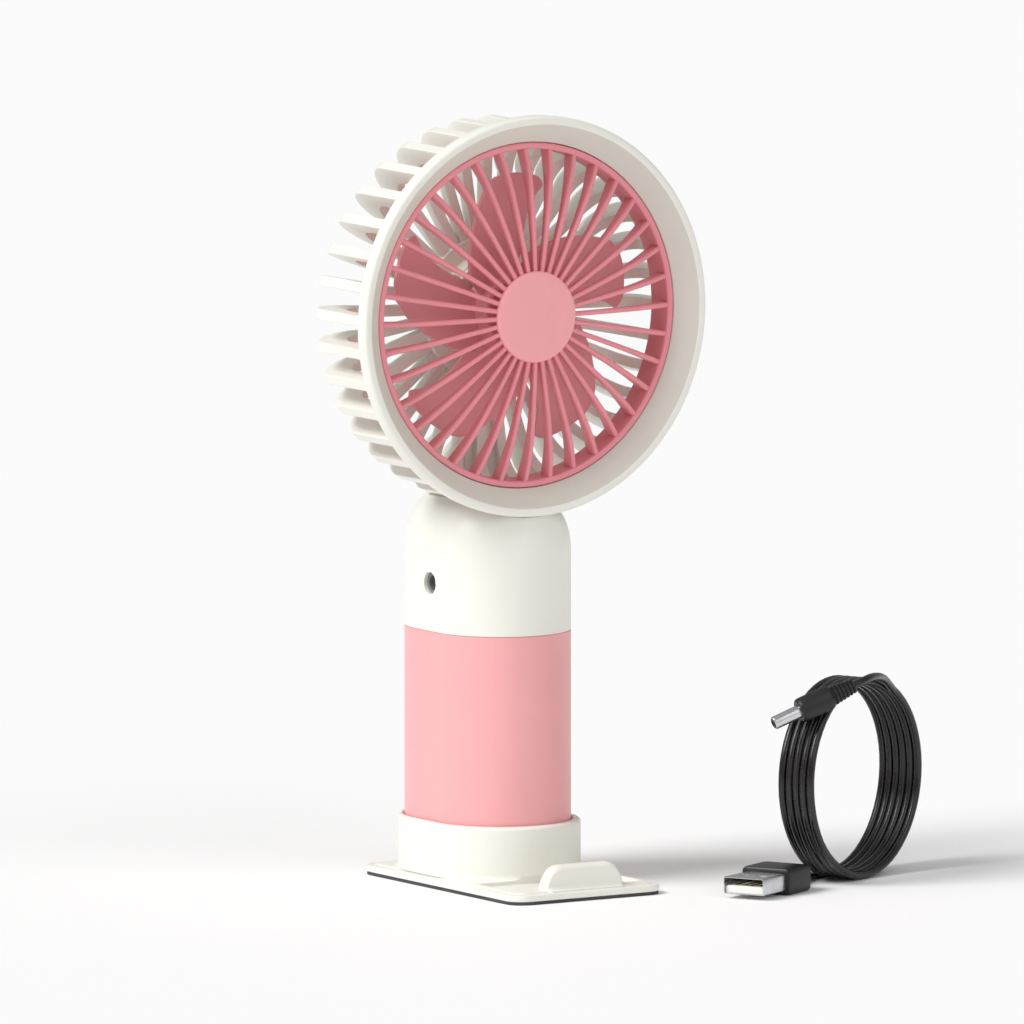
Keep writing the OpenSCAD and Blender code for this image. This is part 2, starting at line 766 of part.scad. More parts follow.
module lead_to_usb() {
    color("black") at_coil() tube(usb_route, cord_r, [0.1, 0.2, 1]);
}

// The plug lies across the top of the coil; this frame's z points to its tip
module at_plug() {
    at_coil() translate(plug_at) rotate([0, 90 + plug_drop, plug_yaw]) children();
}

module dc_plug_body() {
    color("black") at_plug() {
        for (i = [0:5]) translate([0, 0, i * 1.1]) cylinder(r = 2 + i * 0.13, h = 0.7);
        cylinder(r1 = 1.5, r2 = 2.3, h = 7);
        translate([0, 0, 6.8]) cylinder(r = 3.3, h = 9.6);
    }
}

module dc_plug_barrel() {
    color("silver") at_plug() translate([0, 0, 16.4]) ring(1.75, 1.3, 7.6);
}

module dc_plug_insulator() {
    color("dimgray") at_plug() translate([0, 0, 16.4]) ring(1.3, 0.7, 7.8);
}

// The USB plug lies flat; this frame's x points out of its mouth
module at_usb() {
    at_coil() translate(usb_at) rotate([0, 0, usb_yaw]) children();
}

module usb_plug_body() {
    color("black") at_usb() rotate([90, 0, 90]) linear_extrude(14) round_rect(-7.2, 0, 7.2, 7, 1);
}

module usb_shell() {
    color("silver") at_usb() difference() {
        translate([14, -6, usb_z - 2.25]) cube([12, 12, 4.5]);
        translate([13, -5.7, usb_z - 1.95]) cube([14, 11.4, 3.9]);
        for (y = [-3.9, 1.5]) translate([20, y, 0]) cube([2.4, 2.4, 8]);
    }
}

module usb_tongue() {
    color("white") at_usb() translate([14, -5.6, usb_z - 1.93]) cube([11.2, 11.2, 1.85]);
}

module usb_contacts() {
    color("gold") at_usb() for (y = [-3.5, -1, 1, 3.5]) translate([15.4, y - 0.5, usb_z - 0.08])
        cube([8.6, 1, 0.12]);
}

dock_base();
dock_pad();
handle_sleeve();
bottom_cap();
cap_screws();
battery_cell();
battery_tabs();
battery_leads();
chassis();
circuit_board();
board_parts();
board_screws();
tact_switch();
switch_plunger();
power_button();
indicator_lens();
jack_housing();
jack_pin();
neck_shell();
head_screws();
rear_cage();
cage_hoop();
rear_cap();
motor_can();
motor_end_cap();
motor_bushings();
motor_magnets();
motor_brushes();
motor_terminals();
motor_leads();
motor_clamp();
clamp_screws();
motor_shaft();
armature_core();
armature_windings();
commutator();
impeller();
front_bezel();
front_grille();
grille_badge();
lead_coil();
lead_to_plug();
lead_to_usb();
dc_plug_body();
dc_plug_barrel();
dc_plug_insulator();
usb_plug_body();
usb_shell();
usb_tongue();
usb_contacts();
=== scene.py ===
"""Handheld battery fan in its dock stand, with its charging lead coiled beside it.

Sizes are in millimetres in the classes below and metres in the meshes. The frame is the CAD
model's own: +Z up, the fan blows along -Y, and the origin is on the table under the handle.
"""
from __future__ import annotations

import json
import logging
import math
from dataclasses import dataclass, field
from enum import Enum
from typing import Iterable, Sequence

import bmesh
import bpy
from mathutils import Matrix, Vector


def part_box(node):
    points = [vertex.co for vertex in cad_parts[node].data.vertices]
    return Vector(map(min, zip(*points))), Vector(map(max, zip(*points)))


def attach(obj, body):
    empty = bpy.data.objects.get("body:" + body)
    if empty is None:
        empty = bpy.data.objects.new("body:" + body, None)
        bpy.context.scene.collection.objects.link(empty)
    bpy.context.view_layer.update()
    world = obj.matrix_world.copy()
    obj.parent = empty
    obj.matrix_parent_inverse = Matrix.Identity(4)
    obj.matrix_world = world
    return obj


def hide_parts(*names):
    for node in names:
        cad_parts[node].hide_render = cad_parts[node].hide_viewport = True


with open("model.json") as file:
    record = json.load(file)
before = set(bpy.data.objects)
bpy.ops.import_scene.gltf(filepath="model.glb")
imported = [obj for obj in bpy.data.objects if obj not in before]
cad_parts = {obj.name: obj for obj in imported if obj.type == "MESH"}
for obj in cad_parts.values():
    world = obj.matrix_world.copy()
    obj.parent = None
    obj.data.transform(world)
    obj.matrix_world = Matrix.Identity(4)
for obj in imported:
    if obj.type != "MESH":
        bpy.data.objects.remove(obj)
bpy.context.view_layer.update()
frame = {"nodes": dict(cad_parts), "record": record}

LOG = logging.getLogger("handheld_fan")
MM = 0.001

Point2 = tuple[float, float]
Point3 = tuple[float, float, float]
Faces = list[tuple[int, ...]]


class Body(str, Enum):
    """The rigid bodies of the fan, by the names that the record gives them."""

    DOCK = "dock"
    FAN = "fan"
    ROTOR = "rotor"
    BUTTON = "button"
    LEAD = "lead"


# ---------------------------------------------------------------- finishes


def linear(colour: str) -> tuple[float, float, float, float]:
    """Turn a display colour into the linear values that shaders take.

    Args:
        colour: six hexadecimal digits, two each for red, green and blue.

    Returns:
        Red, green, blue and alpha, from 0 to 1.
    """
    parts = [int(colour[i : i + 2], 16) / 255 for i in (0, 2, 4)]
    r, g, b = ((c / 12.92) if c <= 0.04045 else ((c + 0.055) / 1.055) ** 2.4 for c in parts)
    return (r, g, b, 1.0)


@dataclass
class Shader:
    """A material under construction: its tree, its surface shader and short ways to add nodes."""

    name: str
    material: bpy.types.Material = field(init=False)
    tree: bpy.types.NodeTree = field(init=False)
    surface: bpy.types.Node = field(init=False)

    def __post_init__(self) -> None:
        """Start an empty node material with its surface shader in place."""
        self.material = bpy.data.materials.new(self.name)
        self.material.use_nodes = True
        self.tree = self.material.node_tree
        self.surface = self.tree.nodes["Principled BSDF"]

    def node(self, kind: str, **settings: object) -> bpy.types.Node:
        """Add a node.

        Args:
            kind: the node's type name.
            settings: properties to set on the node.

        Returns:
            The new node.
        """
        made = self.tree.nodes.new(kind)
        for key, value in settings.items():
            setattr(made, key, value)
        return made

    def join(self, out: bpy.types.NodeSocket, into: bpy.types.NodeSocket) -> None:
        """Link one socket to another."""
        self.tree.links.new(out, into)

    def place(self, source: str = "Object", scale: Point3 = (1, 1, 1)) -> bpy.types.NodeSocket:
        """Give the coordinates that a pattern reads.

        Args:
            source: which output of Texture Coordinate to read.
            scale: stretch of the pattern along each axis.

        Returns:
            The vector socket.
        """
        coords = self.node("ShaderNodeTexCoord")
        mapping = self.node("ShaderNodeMapping")
        mapping.inputs["Scale"].default_value = scale
        self.join(coords.outputs[source], mapping.inputs["Vector"])
        return mapping.outputs["Vector"]

    def noise(
        self, vector: bpy.types.NodeSocket, scale: float, detail: float = 3, rough: float = 0.5
    ) -> bpy.types.NodeSocket:
        """Add a noise pattern and return its factor.

        Args:
            vector: coordinates to read.
            scale: cells per metre.
            detail: number of finer layers.
            rough: strength of the finer layers.

        Returns:
            The factor socket, from 0 to 1.
        """
        made = self.node("ShaderNodeTexNoise")
        self.join(vector, made.inputs["Vector"])
        made.inputs["Scale"].default_value = scale
        made.inputs["Detail"].default_value = detail
        made.inputs["Roughness"].default_value = rough
        return made.outputs["Fac"]

    def spread(
        self, value: bpy.types.NodeSocket, low: float, high: float, at: Point2 = (0.3, 0.7)
    ) -> bpy.types.NodeSocket:
        """Map a factor's middle range onto another range.

        Args:
            value: the factor.
            low: result at the range's start.
            high: result at the range's end.
            at: the part of the factor that is used.

        Returns:
            The mapped value.
        """
        made = self.node("ShaderNodeMapRange")
        self.join(value, made.inputs["Value"])
        made.inputs["From Min"].default_value = at[0]
        made.inputs["From Max"].default_value = at[1]
        made.inputs["To Min"].default_value = low
        made.inputs["To Max"].default_value = high
        return made.outputs["Result"]

    def math(
        self, operation: str, a: bpy.types.NodeSocket | float, b: bpy.types.NodeSocket | float
    ) -> bpy.types.NodeSocket:
        """Combine two values.

        Args:
            operation: name of the Math node's operation.
            a: first value or socket.
            b: second value or socket.

        Returns:
            The result.
        """
        made = self.node("ShaderNodeMath", operation=operation)
        for socket, value in zip(made.inputs, (a, b)):
            if isinstance(value, (int, float)):
                socket.default_value = value
            else:
                self.join(value, socket)
        return made.outputs[0]

    def blend(
        self, factor: bpy.types.NodeSocket, first: Sequence[float], second: Sequence[float]
    ) -> bpy.types.NodeSocket:
        """Mix two fixed colours by a pattern.

        Args:
            factor: where the second colour shows.
            first: linear colour at 0.
            second: linear colour at 1.

        Returns:
            The colour socket.
        """
        made = self.node("ShaderNodeMix", data_type="RGBA")
        self.join(factor, made.inputs["Factor"])
        made.inputs[6].default_value = first
        made.inputs[7].default_value = second
        return made.outputs[2]

    def bump(self, height: bpy.types.NodeSocket, strength: float, depth: float) -> None:
        """Raise the surface by a height pattern.

        Args:
            height: the pattern.
            strength: how much of it shows, from 0 to 1.
            depth: its depth in metres.
        """
        made = self.node("ShaderNodeBump")
        made.inputs["Strength"].default_value = strength
        made.inputs["Distance"].default_value = depth
        self.join(height, made.inputs["Height"])
        self.join(made.outputs["Normal"], self.surface.inputs["Normal"])

    def set(self, **values: object) -> None:
        """Set fixed values on the surface shader's own sockets."""
        for key, value in values.items():
            self.surface.inputs[key.replace("_", " ")].default_value = value


def shade(colour: Sequence[float], factor: float) -> tuple[float, float, float, float]:
    """Make a linear colour darker or lighter by a factor."""
    return tuple(min(1.0, c * factor) for c in colour[:3]) + (1.0,)


@dataclass(frozen=True)
class MouldedPlastic:
    """Injection-moulded plastic: fine even grain, faint flow marks and a slow drift of colour."""

    name: str
    colour: str
    roughness: float = 0.42
    drift: float = 0.05
    grain: float = 2600.0
    grain_depth: float = 0.00003
    glow: float = 0.08
    coat: float = 0.0

    def material(self) -> bpy.types.Material:
        """Build the material.

        Returns:
            The new material.
        """
        s = Shader(self.name)
        base = linear(self.colour)
        where = s.place()
        drift = s.noise(where, 45, 4, 0.55)
        flow = s.noise(s.place(scale=(1, 1, 0.15)), 260, 3)
        mottle = s.math("ADD", s.math("MULTIPLY", drift, 0.7), s.math("MULTIPLY", flow, 0.3))
        factor = s.spread(mottle, 0, 1, (0.35, 0.65))
        s.join(
            s.blend(factor, shade(base, 1 - self.drift), shade(base, 1 + self.drift)),
            s.surface.inputs["Base Color"],
        )
        fine = s.noise(where, self.grain, 2)
        s.join(
            s.spread(s.math("ADD", s.math("MULTIPLY", fine, 0.4), s.math("MULTIPLY", drift, 0.6)),
                     self.roughness - 0.06, self.roughness + 0.06),
            s.surface.inputs["Roughness"],
        )
        s.bump(fine, 0.35, self.grain_depth)
        s.set(Specular_IOR_Level=0.45, IOR=1.5, Subsurface_Weight=self.glow, Subsurface_Scale=0.002,
              Coat_Weight=self.coat, Coat_Roughness=0.2)
        return s.material


@dataclass(frozen=True)
class SoftRubber:
    """Rubber or soft vinyl: dull, with a dusty bloom and a coarse grain."""

    name: str
    colour: str
    roughness: float = 0.6

    def material(self) -> bpy.types.Material:
        """Build the material.

        Returns:
            The new material.
        """
        s = Shader(self.name)
        base = linear(self.colour)
        where = s.place()
        bloom = s.noise(where, 140, 5, 0.6)
        s.join(s.blend(s.spread(bloom, 0, 1), base, shade([c + 0.012 for c in base], 1.5)),
               s.surface.inputs["Base Color"])
        grain = s.noise(where, 3200, 2)
        s.join(s.spread(bloom, self.roughness - 0.08, self.roughness + 0.1),
               s.surface.inputs["Roughness"])
        s.bump(grain, 0.4, 0.00004)
        s.set(Specular_IOR_Level=0.4)
        return s.material


@dataclass(frozen=True)
class CordSheath:
    """Extruded cord sheath: satin, with faint draw lines along it and lighter patches that are partly dust
    and partly painted shading of its slow kinks.
    """

    name: str
    colour: str
    roughness: float = 0.3

    def material(self) -> bpy.types.Material:
        """Build the material.

        Returns:
            The new material.
        """
        s = Shader(self.name)
        base = linear(self.colour)
        along = s.place("UV", (3.0, 60.0, 1.0))
        lines = s.noise(along, 6, 2)
        dust_and_kink_shading = s.noise(s.place(), 210, 4)
        # lighter patches: partly dust, partly painted shading of the cord's kinks
        s.join(s.blend(s.spread(dust_and_kink_shading, 0, 1, (0.4, 0.75)), base, shade([c + 0.004 for c in base], 1.8)),
               s.surface.inputs["Base Color"])
        s.join(s.spread(dust_and_kink_shading, self.roughness - 0.06, self.roughness + 0.12),
               s.surface.inputs["Roughness"])
        s.bump(lines, 0.3, 0.00003)
        s.set(Specular_IOR_Level=0.5, Coat_Weight=0.15, Coat_Roughness=0.35)
        return s.material


@dataclass(frozen=True)
class PlainMetal:
    """Plated, drawn or turned metal: fine lines one way, with light tarnish in patches."""

    name: str
    colour: str
    roughness: float = 0.25
    lines: Point3 = (1.0, 1.0, 12.0)
    tarnish: float = 0.12

    def material(self) -> bpy.types.Material:
        """Build the material.

        Returns:
            The new material.
        """
        s = Shader(self.name)
        base = linear(self.colour)
        streak = s.noise(s.place(scale=self.lines), 900, 3)
        patch = s.noise(s.place(), 160, 4, 0.6)
        s.join(s.blend(s.spread(patch, 0, 1, (0.35, 0.7)), base, shade(base, 1 - self.tarnish)),
               s.surface.inputs["Base Color"])
        s.join(s.spread(s.math("ADD", s.math("MULTIPLY", streak, 0.6), s.math("MULTIPLY", patch, 0.4)),
                        self.roughness - 0.07, self.roughness + 0.13),
               s.surface.inputs["Roughness"])
        s.bump(streak, 0.25, 0.00002)
        s.set(Metallic=1.0)
        return s.material


@dataclass(frozen=True)
class WoundWire:
    """Enamelled copper wire, laid side by side in close turns, with painted shade in the grooves between
    them.
    """

    name: str
    colour: str
    wire: float = 0.35

    def material(self) -> bpy.types.Material:
        """Build the material.

        Returns:
            The new material.
        """
        s = Shader(self.name)
        base = linear(self.colour)
        wave = s.node("ShaderNodeTexWave", wave_type="BANDS", bands_direction="DIAGONAL")
        s.join(s.place(), wave.inputs["Vector"])
        wave.inputs["Scale"].default_value = 0.32 / (self.wire * MM)
        wave.inputs["Distortion"].default_value = 0.6
        # dark bands between the turns are painted shade in the grooves between wires
        s.join(s.blend(wave.outputs["Fac"], shade(base, 0.35), base), s.surface.inputs["Base Color"])
        s.join(s.spread(wave.outputs["Fac"], 0.5, 0.28, (0, 1)), s.surface.inputs["Roughness"])
        s.bump(wave.outputs["Fac"], 0.8, 0.0001)
        s.set(Metallic=0.85)
        return s.material


@dataclass(frozen=True)
class SheetStack:
    """Punched steel sheets in a stack, seen on their edges, or a pressed dark magnet."""

    name: str
    colour: str
    sheet: float = 0.5
    metallic: float = 0.8

    def material(self) -> bpy.types.Material:
        """Build the material.

        Returns:
            The new material.
        """
        s = Shader(self.name)
        base = linear(self.colour)
        wave = s.node("ShaderNodeTexWave", wave_type="BANDS", bands_direction="Y")
        s.join(s.place(), wave.inputs["Vector"])
        wave.inputs["Scale"].default_value = 0.32 / (self.sheet * MM)
        rust = s.noise(s.place(), 420, 4)
        s.join(s.blend(s.math("MULTIPLY", wave.outputs["Fac"], rust), shade(base, 0.6), shade(base, 1.5)),
               s.surface.inputs["Base Color"])
        s.join(s.spread(rust, 0.4, 0.65), s.surface.inputs["Roughness"])
        s.bump(wave.outputs["Fac"], 0.4, 0.00005)
        s.set(Metallic=self.metallic)
        return s.material


@dataclass(frozen=True)
class SolderMask:
    """Circuit board: green mask over faint copper tracks."""

    name: str
    colour: str

    def material(self) -> bpy.types.Material:
        """Build the material.

        Returns:
            The new material.
        """
        s = Shader(self.name)
        base = linear(self.colour)
        cells = s.node("ShaderNodeTexBrick")
        s.join(s.place(), cells.inputs["Vector"])
        cells.inputs["Scale"].default_value = 420
        cells.inputs["Color1"].default_value = base
        cells.inputs["Color2"].default_value = shade(base, 1.35)
        cells.inputs["Mortar"].default_value = shade(base, 2.2)
        cells.inputs["Mortar Size"].default_value = 0.06
        s.join(cells.outputs["Color"], s.surface.inputs["Base Color"])
        fine = s.noise(s.place(), 900, 3)
        s.join(s.spread(fine, 0.2, 0.35), s.surface.inputs["Roughness"])
        s.bump(cells.outputs["Fac"], 0.4, 0.00003)
        return s.material


FINISHES: dict[str, object] = {
    "pink_shell": MouldedPlastic("pink_shell", "F6AEB0", 0.38, 0.02, glow=0.06),
    "grille_pink": MouldedPlastic("grille_pink", "EC929C", 0.4, 0.03),
    "badge_pink": MouldedPlastic("badge_pink", "FBAAAF", 0.42, 0.02, 3600),
    "impeller_pink": MouldedPlastic("impeller_pink", "E19A9F", 0.42, 0.03),
    "cream_shell": MouldedPlastic("cream_shell", "F1F0E7", 0.36, 0.012, glow=0.06),
    # darker, satin cream for the bezel's inner cone: its darker colour is painted shade
    "cream_painted_shade": MouldedPlastic("cream_painted_shade", "DCD8CD", 0.5, 0.012, glow=0.02),
    "inner_white": MouldedPlastic("inner_white", "E6E6E2", 0.5, 0.03, glow=0.02),
    "white_plastic": MouldedPlastic("white_plastic", "F1F1EC", 0.45, 0.02),
    "lens_clear": MouldedPlastic("lens_clear", "F3F7F7", 0.12, 0.01, glow=0.4, coat=0.5),
    "black_plastic": MouldedPlastic("black_plastic", "17171A", 0.4, 0.12, glow=0.0),
    "jack_grey": MouldedPlastic("jack_grey", "7A7A78", 0.35, 0.05, glow=0.0),
    "dark_foot": SoftRubber("dark_foot", "3A3A3C", 0.65),
    "button_black": SoftRubber("button_black", "1A1A1A", 0.55),
    "wire_red": SoftRubber("wire_red", "B3231C", 0.45),
    "cord_black": CordSheath("cord_black", "0B0B0D", 0.24),
    "plated_steel": PlainMetal("plated_steel", "D5D6D8", 0.22),
    "shaft_steel": PlainMetal("shaft_steel", "C9CCD2", 0.18, (12.0, 1.0, 12.0)),
    "brass": PlainMetal("brass", "C9A35A", 0.32),
    "gold_plate": PlainMetal("gold_plate", "E8C46A", 0.22),
    "core_steel": SheetStack("core_steel", "6C6D70"),
    "magnet_dark": SheetStack("magnet_dark", "2B2B2D", 3.0, 0.1),
    "copper": WoundWire("copper", "C4733B"),
    "battery_wrap": MouldedPlastic("battery_wrap", "2F6FB0", 0.28, 0.06, 900, glow=0.0, coat=0.4),
    "board_green": SolderMask("board_green", "14603A"),
}


@dataclass
class Palette:
    """Builds each finish once, under the record's slot names."""

    made: dict[str, bpy.types.Material] = field(default_factory=dict)

    def get(self, slot: str) -> bpy.types.Material:
        """Find the material of a slot, building it at first use.

        Args:
            slot: the record's material slot.

        Returns:
            The slot's material.
        """
        if slot not in self.made:
            self.made[slot] = FINISHES[slot].material()
        return self.made[slot]


# ---------------------------------------------------------------- mesh tools


def fillet(points: Sequence[Point2], radii: Sequence[float] | float, steps: int = 5) -> list[Point2]:
    """Round the corners of a closed outline.

    Args:
        points: the corners in order.
        radii: one radius for all corners, or one for each.
        steps: segments in each rounded corner.

    Returns:
        The outline with arcs in place of its corners.
    """
    n = len(points)
    sizes = [radii] * n if isinstance(radii, (int, float)) else list(radii)
    out: list[Point2] = []
    for i in range(n):
        p, a, b = Vector(points[i]), Vector(points[i - 1]), Vector(points[(i + 1) % n])
        u, v = (a - p), (b - p)
        half = u.angle(v) / 2
        r = sizes[i]
        reach = r / math.tan(half) if half > 1e-3 else 0.0
        most = 0.49 * min(u.length, v.length)
        if reach > most:
            r, reach = r * most / reach, most
        if r < 1e-4 or abs(half - math.pi / 2) < 1e-3:
            out.append((p.x, p.y))
            continue
        u.normalize()
        v.normalize()
        centre = p + (u + v).normalized() * (r / math.sin(half))
        start = p + u * reach - centre
        end = p + v * reach - centre
        turn = start.angle_signed(end)
        for k in range(steps + 1):
            spun = start.copy()
            spun.rotate(Matrix.Rotation(-turn * k / steps, 2))
            out.append((centre.x + spun.x, centre.y + spun.y))
    return out


def head_point(centre: Vector, x: float, y: float, ahead: float) -> Vector:
    """Place a point given across, up and ahead of the fan's centre, in millimetres."""
    return centre + Vector((x, -ahead, y)) * MM


@dataclass
class MeshMaker:
    """Collects points and faces in metres, then makes one tidy object of them."""

    name: str
    points: list[Vector] = field(default_factory=list)
    faces: Faces = field(default_factory=list)

    def add(self, points: Iterable[Vector], faces: Faces) -> None:
        """Add a group of points and their faces.

        Args:
            points: the group's points in metres.
            faces: faces numbered from the group's own first point.
        """
        start = len(self.points)
        self.points.extend(points)
        self.faces.extend(tuple(i + start for i in f) for f in faces)

    def loft(self, loops: Sequence[Sequence[Vector]], closed: bool = False, caps: bool = True) -> None:
        """Skin a row of loops that all have the same number of points.

        Args:
            loops: rings of points.
            closed: join the last loop to the first.
            caps: close both ends with one face each.
        """
        n = len(loops[0])
        count = len(loops)
        faces: Faces = []
        for i in range(count if closed else count - 1):
            a, b = i * n, ((i + 1) % count) * n
            faces.extend((a + j, a + (j + 1) % n, b + (j + 1) % n, b + j) for j in range(n))
        if caps and not closed:
            faces.append(tuple(reversed(range(n))))
            faces.append(tuple(range((count - 1) * n, count * n)))
        self.add([p for loop in loops for p in loop], faces)

    def lathe(self, centre: Vector, outline: Sequence[Point2], steps: int = 144) -> None:
        """Turn an outline of (radius, distance ahead) about the fan's axis.

        Args:
            centre: the fan's centre.
            outline: a closed outline, or one that starts and ends on the axis.
            steps: segments round the axis.
        """
        on_axis = outline[0][0] < 1e-6 and outline[-1][0] < 1e-6
        ring = outline[1:-1] if on_axis else outline
        loops = []
        for r, f in ring:
            loops.append([
                head_point(centre, r * math.cos(a), r * math.sin(a), f)
                for a in (2 * math.pi * k / steps for k in range(steps))
            ])
        if not on_axis:
            self.loft(loops, closed=True)
            return
        start = len(self.points)
        self.loft(loops, caps=False)
        for row, (_, f) in ((0, outline[0]), (len(loops) - 1, outline[-1])):
            tip = len(self.points)
            self.points.append(head_point(centre, 0, 0, f))
            base = start + row * steps
            self.faces.extend((base + k, base + (k + 1) % steps, tip) for k in range(steps))

    def build(self, smooth_deg: float = 35.0) -> bpy.types.Object:
        """Make the object, with doubles merged and faces pointing outwards.

        Args:
            smooth_deg: edges sharper than this stay sharp.

        Returns:
            The new object, at the origin.
        """
        mesh = bpy.data.meshes.new(self.name)
        mesh.from_pydata([p[:] for p in self.points], [], self.faces)
        made = bpy.data.objects.new(self.name, mesh)
        bpy.context.collection.objects.link(made)
        tidy(made, smooth_deg)
        return made


def tidy(obj: bpy.types.Object, smooth_deg: float = 35.0, merge: float = 1e-7) -> None:
    """Merge doubles, turn faces outwards, and smooth all but sharp edges.

    Args:
        obj: the mesh object.
        smooth_deg: edges sharper than this stay sharp.
        merge: points closer than this are merged, in metres.
    """
    b = bmesh.new()
    b.from_mesh(obj.data)
    bmesh.ops.remove_doubles(b, verts=b.verts, dist=merge)
    bmesh.ops.recalc_face_normals(b, faces=b.faces)
    limit = math.radians(smooth_deg)
    for f in b.faces:
        f.smooth = True
    for e in b.edges:
        e.smooth = len(e.link_faces) == 2 and e.calc_face_angle(0.0) < limit
    b.to_mesh(obj.data)
    b.free()


def soften(obj: bpy.types.Object, width: float, angle: float = 40.0, steps: int = 2) -> None:
    """Round an object's sharp edges and even out its shading.

    Args:
        obj: the mesh object.
        width: width of the rounding in millimetres.
        angle: edges sharper than this are rounded, in degrees.
        steps: segments in the rounding.
    """
    bevel = obj.modifiers.new("edges", "BEVEL")
    bevel.width = width * MM
    bevel.segments = steps
    bevel.limit_method = "ANGLE"
    bevel.angle_limit = math.radians(angle)
    bevel.use_clamp_overlap = True
    even = obj.modifiers.new("shading", "WEIGHTED_NORMAL")
    even.keep_sharp = True


def bake_modifiers(obj: bpy.types.Object) -> None:
    """Turn an object's modifiers into plain mesh.

    Args:
        obj: the mesh object.
    """
    depsgraph = bpy.context.evaluated_depsgraph_get()
    done = bpy.data.meshes.new_from_object(obj.evaluated_get(depsgraph), depsgraph=depsgraph)
    old = obj.data
    obj.modifiers.clear()
    obj.data = done
    bpy.data.meshes.remove(old)


def cut(obj: bpy.types.Object, tool: bpy.types.Object, union: bool = False) -> None:
    """Cut a tool out of an object, or weld it on, and remove the tool.

    Args:
        obj: the object that is changed.
        tool: the object that is used up.
        union: weld instead of cutting.
    """
    step = obj.modifiers.new("cut", "BOOLEAN")
    step.operation = "UNION" if union else "DIFFERENCE"
    step.solver = "EXACT"
    step.object = tool
    bake_modifiers(obj)
    bpy.data.objects.remove(tool)


def finish_piece(
    obj: bpy.types.Object, palette: Palette, slot: str, body: Body, nodes: Sequence[str] = ()
) -> bpy.types.Object:
    """Give a piece its finish and its body, and hide the CAD nodes that it stands for.

    Args:
        obj: the piece.
        palette: where finishes come from.
        slot: the record's material slot.
        body: the body that the piece rides on.
        nodes: CAD nodes that the piece replaces.

    Returns:
        The piece.
    """
    obj.data.materials.clear()
    obj.data.materials.append(palette.get(slot))
    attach(obj, body.value)
    if nodes:
        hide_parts(*nodes)
    LOG.info("made %s on %s", obj.name, body.value)
    return obj


@dataclass
class RingArray:
    """Geometry Nodes tree that sets copies of one item in a ring about the fan's axis."""

    name: str
    count: int
    phase_deg: float
    centre: Vector

    def tree(self, material: bpy.types.Material) -> bpy.types.NodeTree:
        """Build the node tree.

        Args:
            material: the finish set at the tree's end.

        Returns:
            The tree, with its inputs named Item, Count, Phase and Centre.
        """
        tree = bpy.data.node_groups.new(self.name, "GeometryNodeTree")
        side = tree.interface
        side.new_socket("Item", in_out="INPUT", socket_type="NodeSocketGeometry")
        side.new_socket("Count", in_out="INPUT", socket_type="NodeSocketInt")
        side.new_socket("Phase", in_out="INPUT", socket_type="NodeSocketFloat")
        side.new_socket("Centre", in_out="INPUT", socket_type="NodeSocketVector")
        side.new_socket("Ring", in_out="OUTPUT", socket_type="NodeSocketGeometry")
        add, link = tree.nodes.new, tree.links.new
        given, out = add("NodeGroupInput"), add("NodeGroupOutput")
        points = add("GeometryNodePoints")
        link(given.outputs["Count"], points.inputs["Count"])
        index = add("GeometryNodeInputIndex")
        share = add("ShaderNodeMath")
        share.operation = "DIVIDE"
        link(index.outputs[0], share.inputs[0])
        link(given.outputs["Count"], share.inputs[1])
        angle = add("ShaderNodeMath")
        angle.operation = "MULTIPLY_ADD"
        link(share.outputs[0], angle.inputs[0])
        angle.inputs[1].default_value = 2 * math.pi
        link(given.outputs["Phase"], angle.inputs[2])
        turn = add("ShaderNodeCombineXYZ")
        link(angle.outputs[0], turn.inputs["Z"])
        copies = add("GeometryNodeInstanceOnPoints")
        link(points.outputs[0], copies.inputs["Points"])
        link(given.outputs["Item"], copies.inputs["Instance"])
        link(turn.outputs[0], copies.inputs["Rotation"])
        stand = add("GeometryNodeTransform")
        stand.inputs["Rotation"].default_value = (math.pi / 2, 0, 0)
        link(copies.outputs[0], stand.inputs["Geometry"])
        link(given.outputs["Centre"], stand.inputs["Translation"])
        real = add("GeometryNodeRealizeInstances")
        link(stand.outputs[0], real.inputs[0])
        dress = add("GeometryNodeSetMaterial")
        dress.inputs["Material"].default_value = material
        link(real.outputs[0], dress.inputs["Geometry"])
        link(dress.outputs[0], out.inputs[0])
        return tree

    def build(self, item: bpy.types.Object, material: bpy.types.Material) -> bpy.types.Object:
        """Array an item, which is modelled at the origin with the axis along z, and make it plain mesh.

        Args:
            item: the item, which becomes the ring.
            material: the ring's finish.

        Returns:
            The item's object, holding the whole ring.
        """
        tree = self.tree(material)
        ring = item.modifiers.new(self.name, "NODES")
        ring.node_group = tree
        ids = {s.name: s.identifier for s in tree.interface.items_tree if s.in_out == "INPUT"}
        ring[ids["Count"]] = self.count
        ring[ids["Phase"]] = math.radians(self.phase_deg)
        ring[ids["Centre"]] = self.centre[:]
        bake_modifiers(item)
        item.name = self.name
        return item


def plate_item(name: str, outline: Sequence[Point2], thickness: float, edge: float, steps: int = 2
               ) -> bpy.types.Object:
    """Make a flat item that stands in the plane of the axis, with rounded edges.

    Args:
        name: the item's name.
        outline: its outline as (radius, distance along the axis), in millimetres.
        thickness: its thickness in millimetres.
        edge: radius of its rounded edges.
        steps: segments in the rounding.

    Returns:
        The item, at the origin, with the axis along z.
    """
    maker = MeshMaker(name)
    half = thickness / 2
    maker.loft([[Vector((r, y, f)) * MM for r, f in outline] for y in (-half, half)])
    item = maker.build(30)
    soften(item, edge, 60, steps)
    bake_modifiers(item)
    return item


# ---------------------------------------------------------------- head


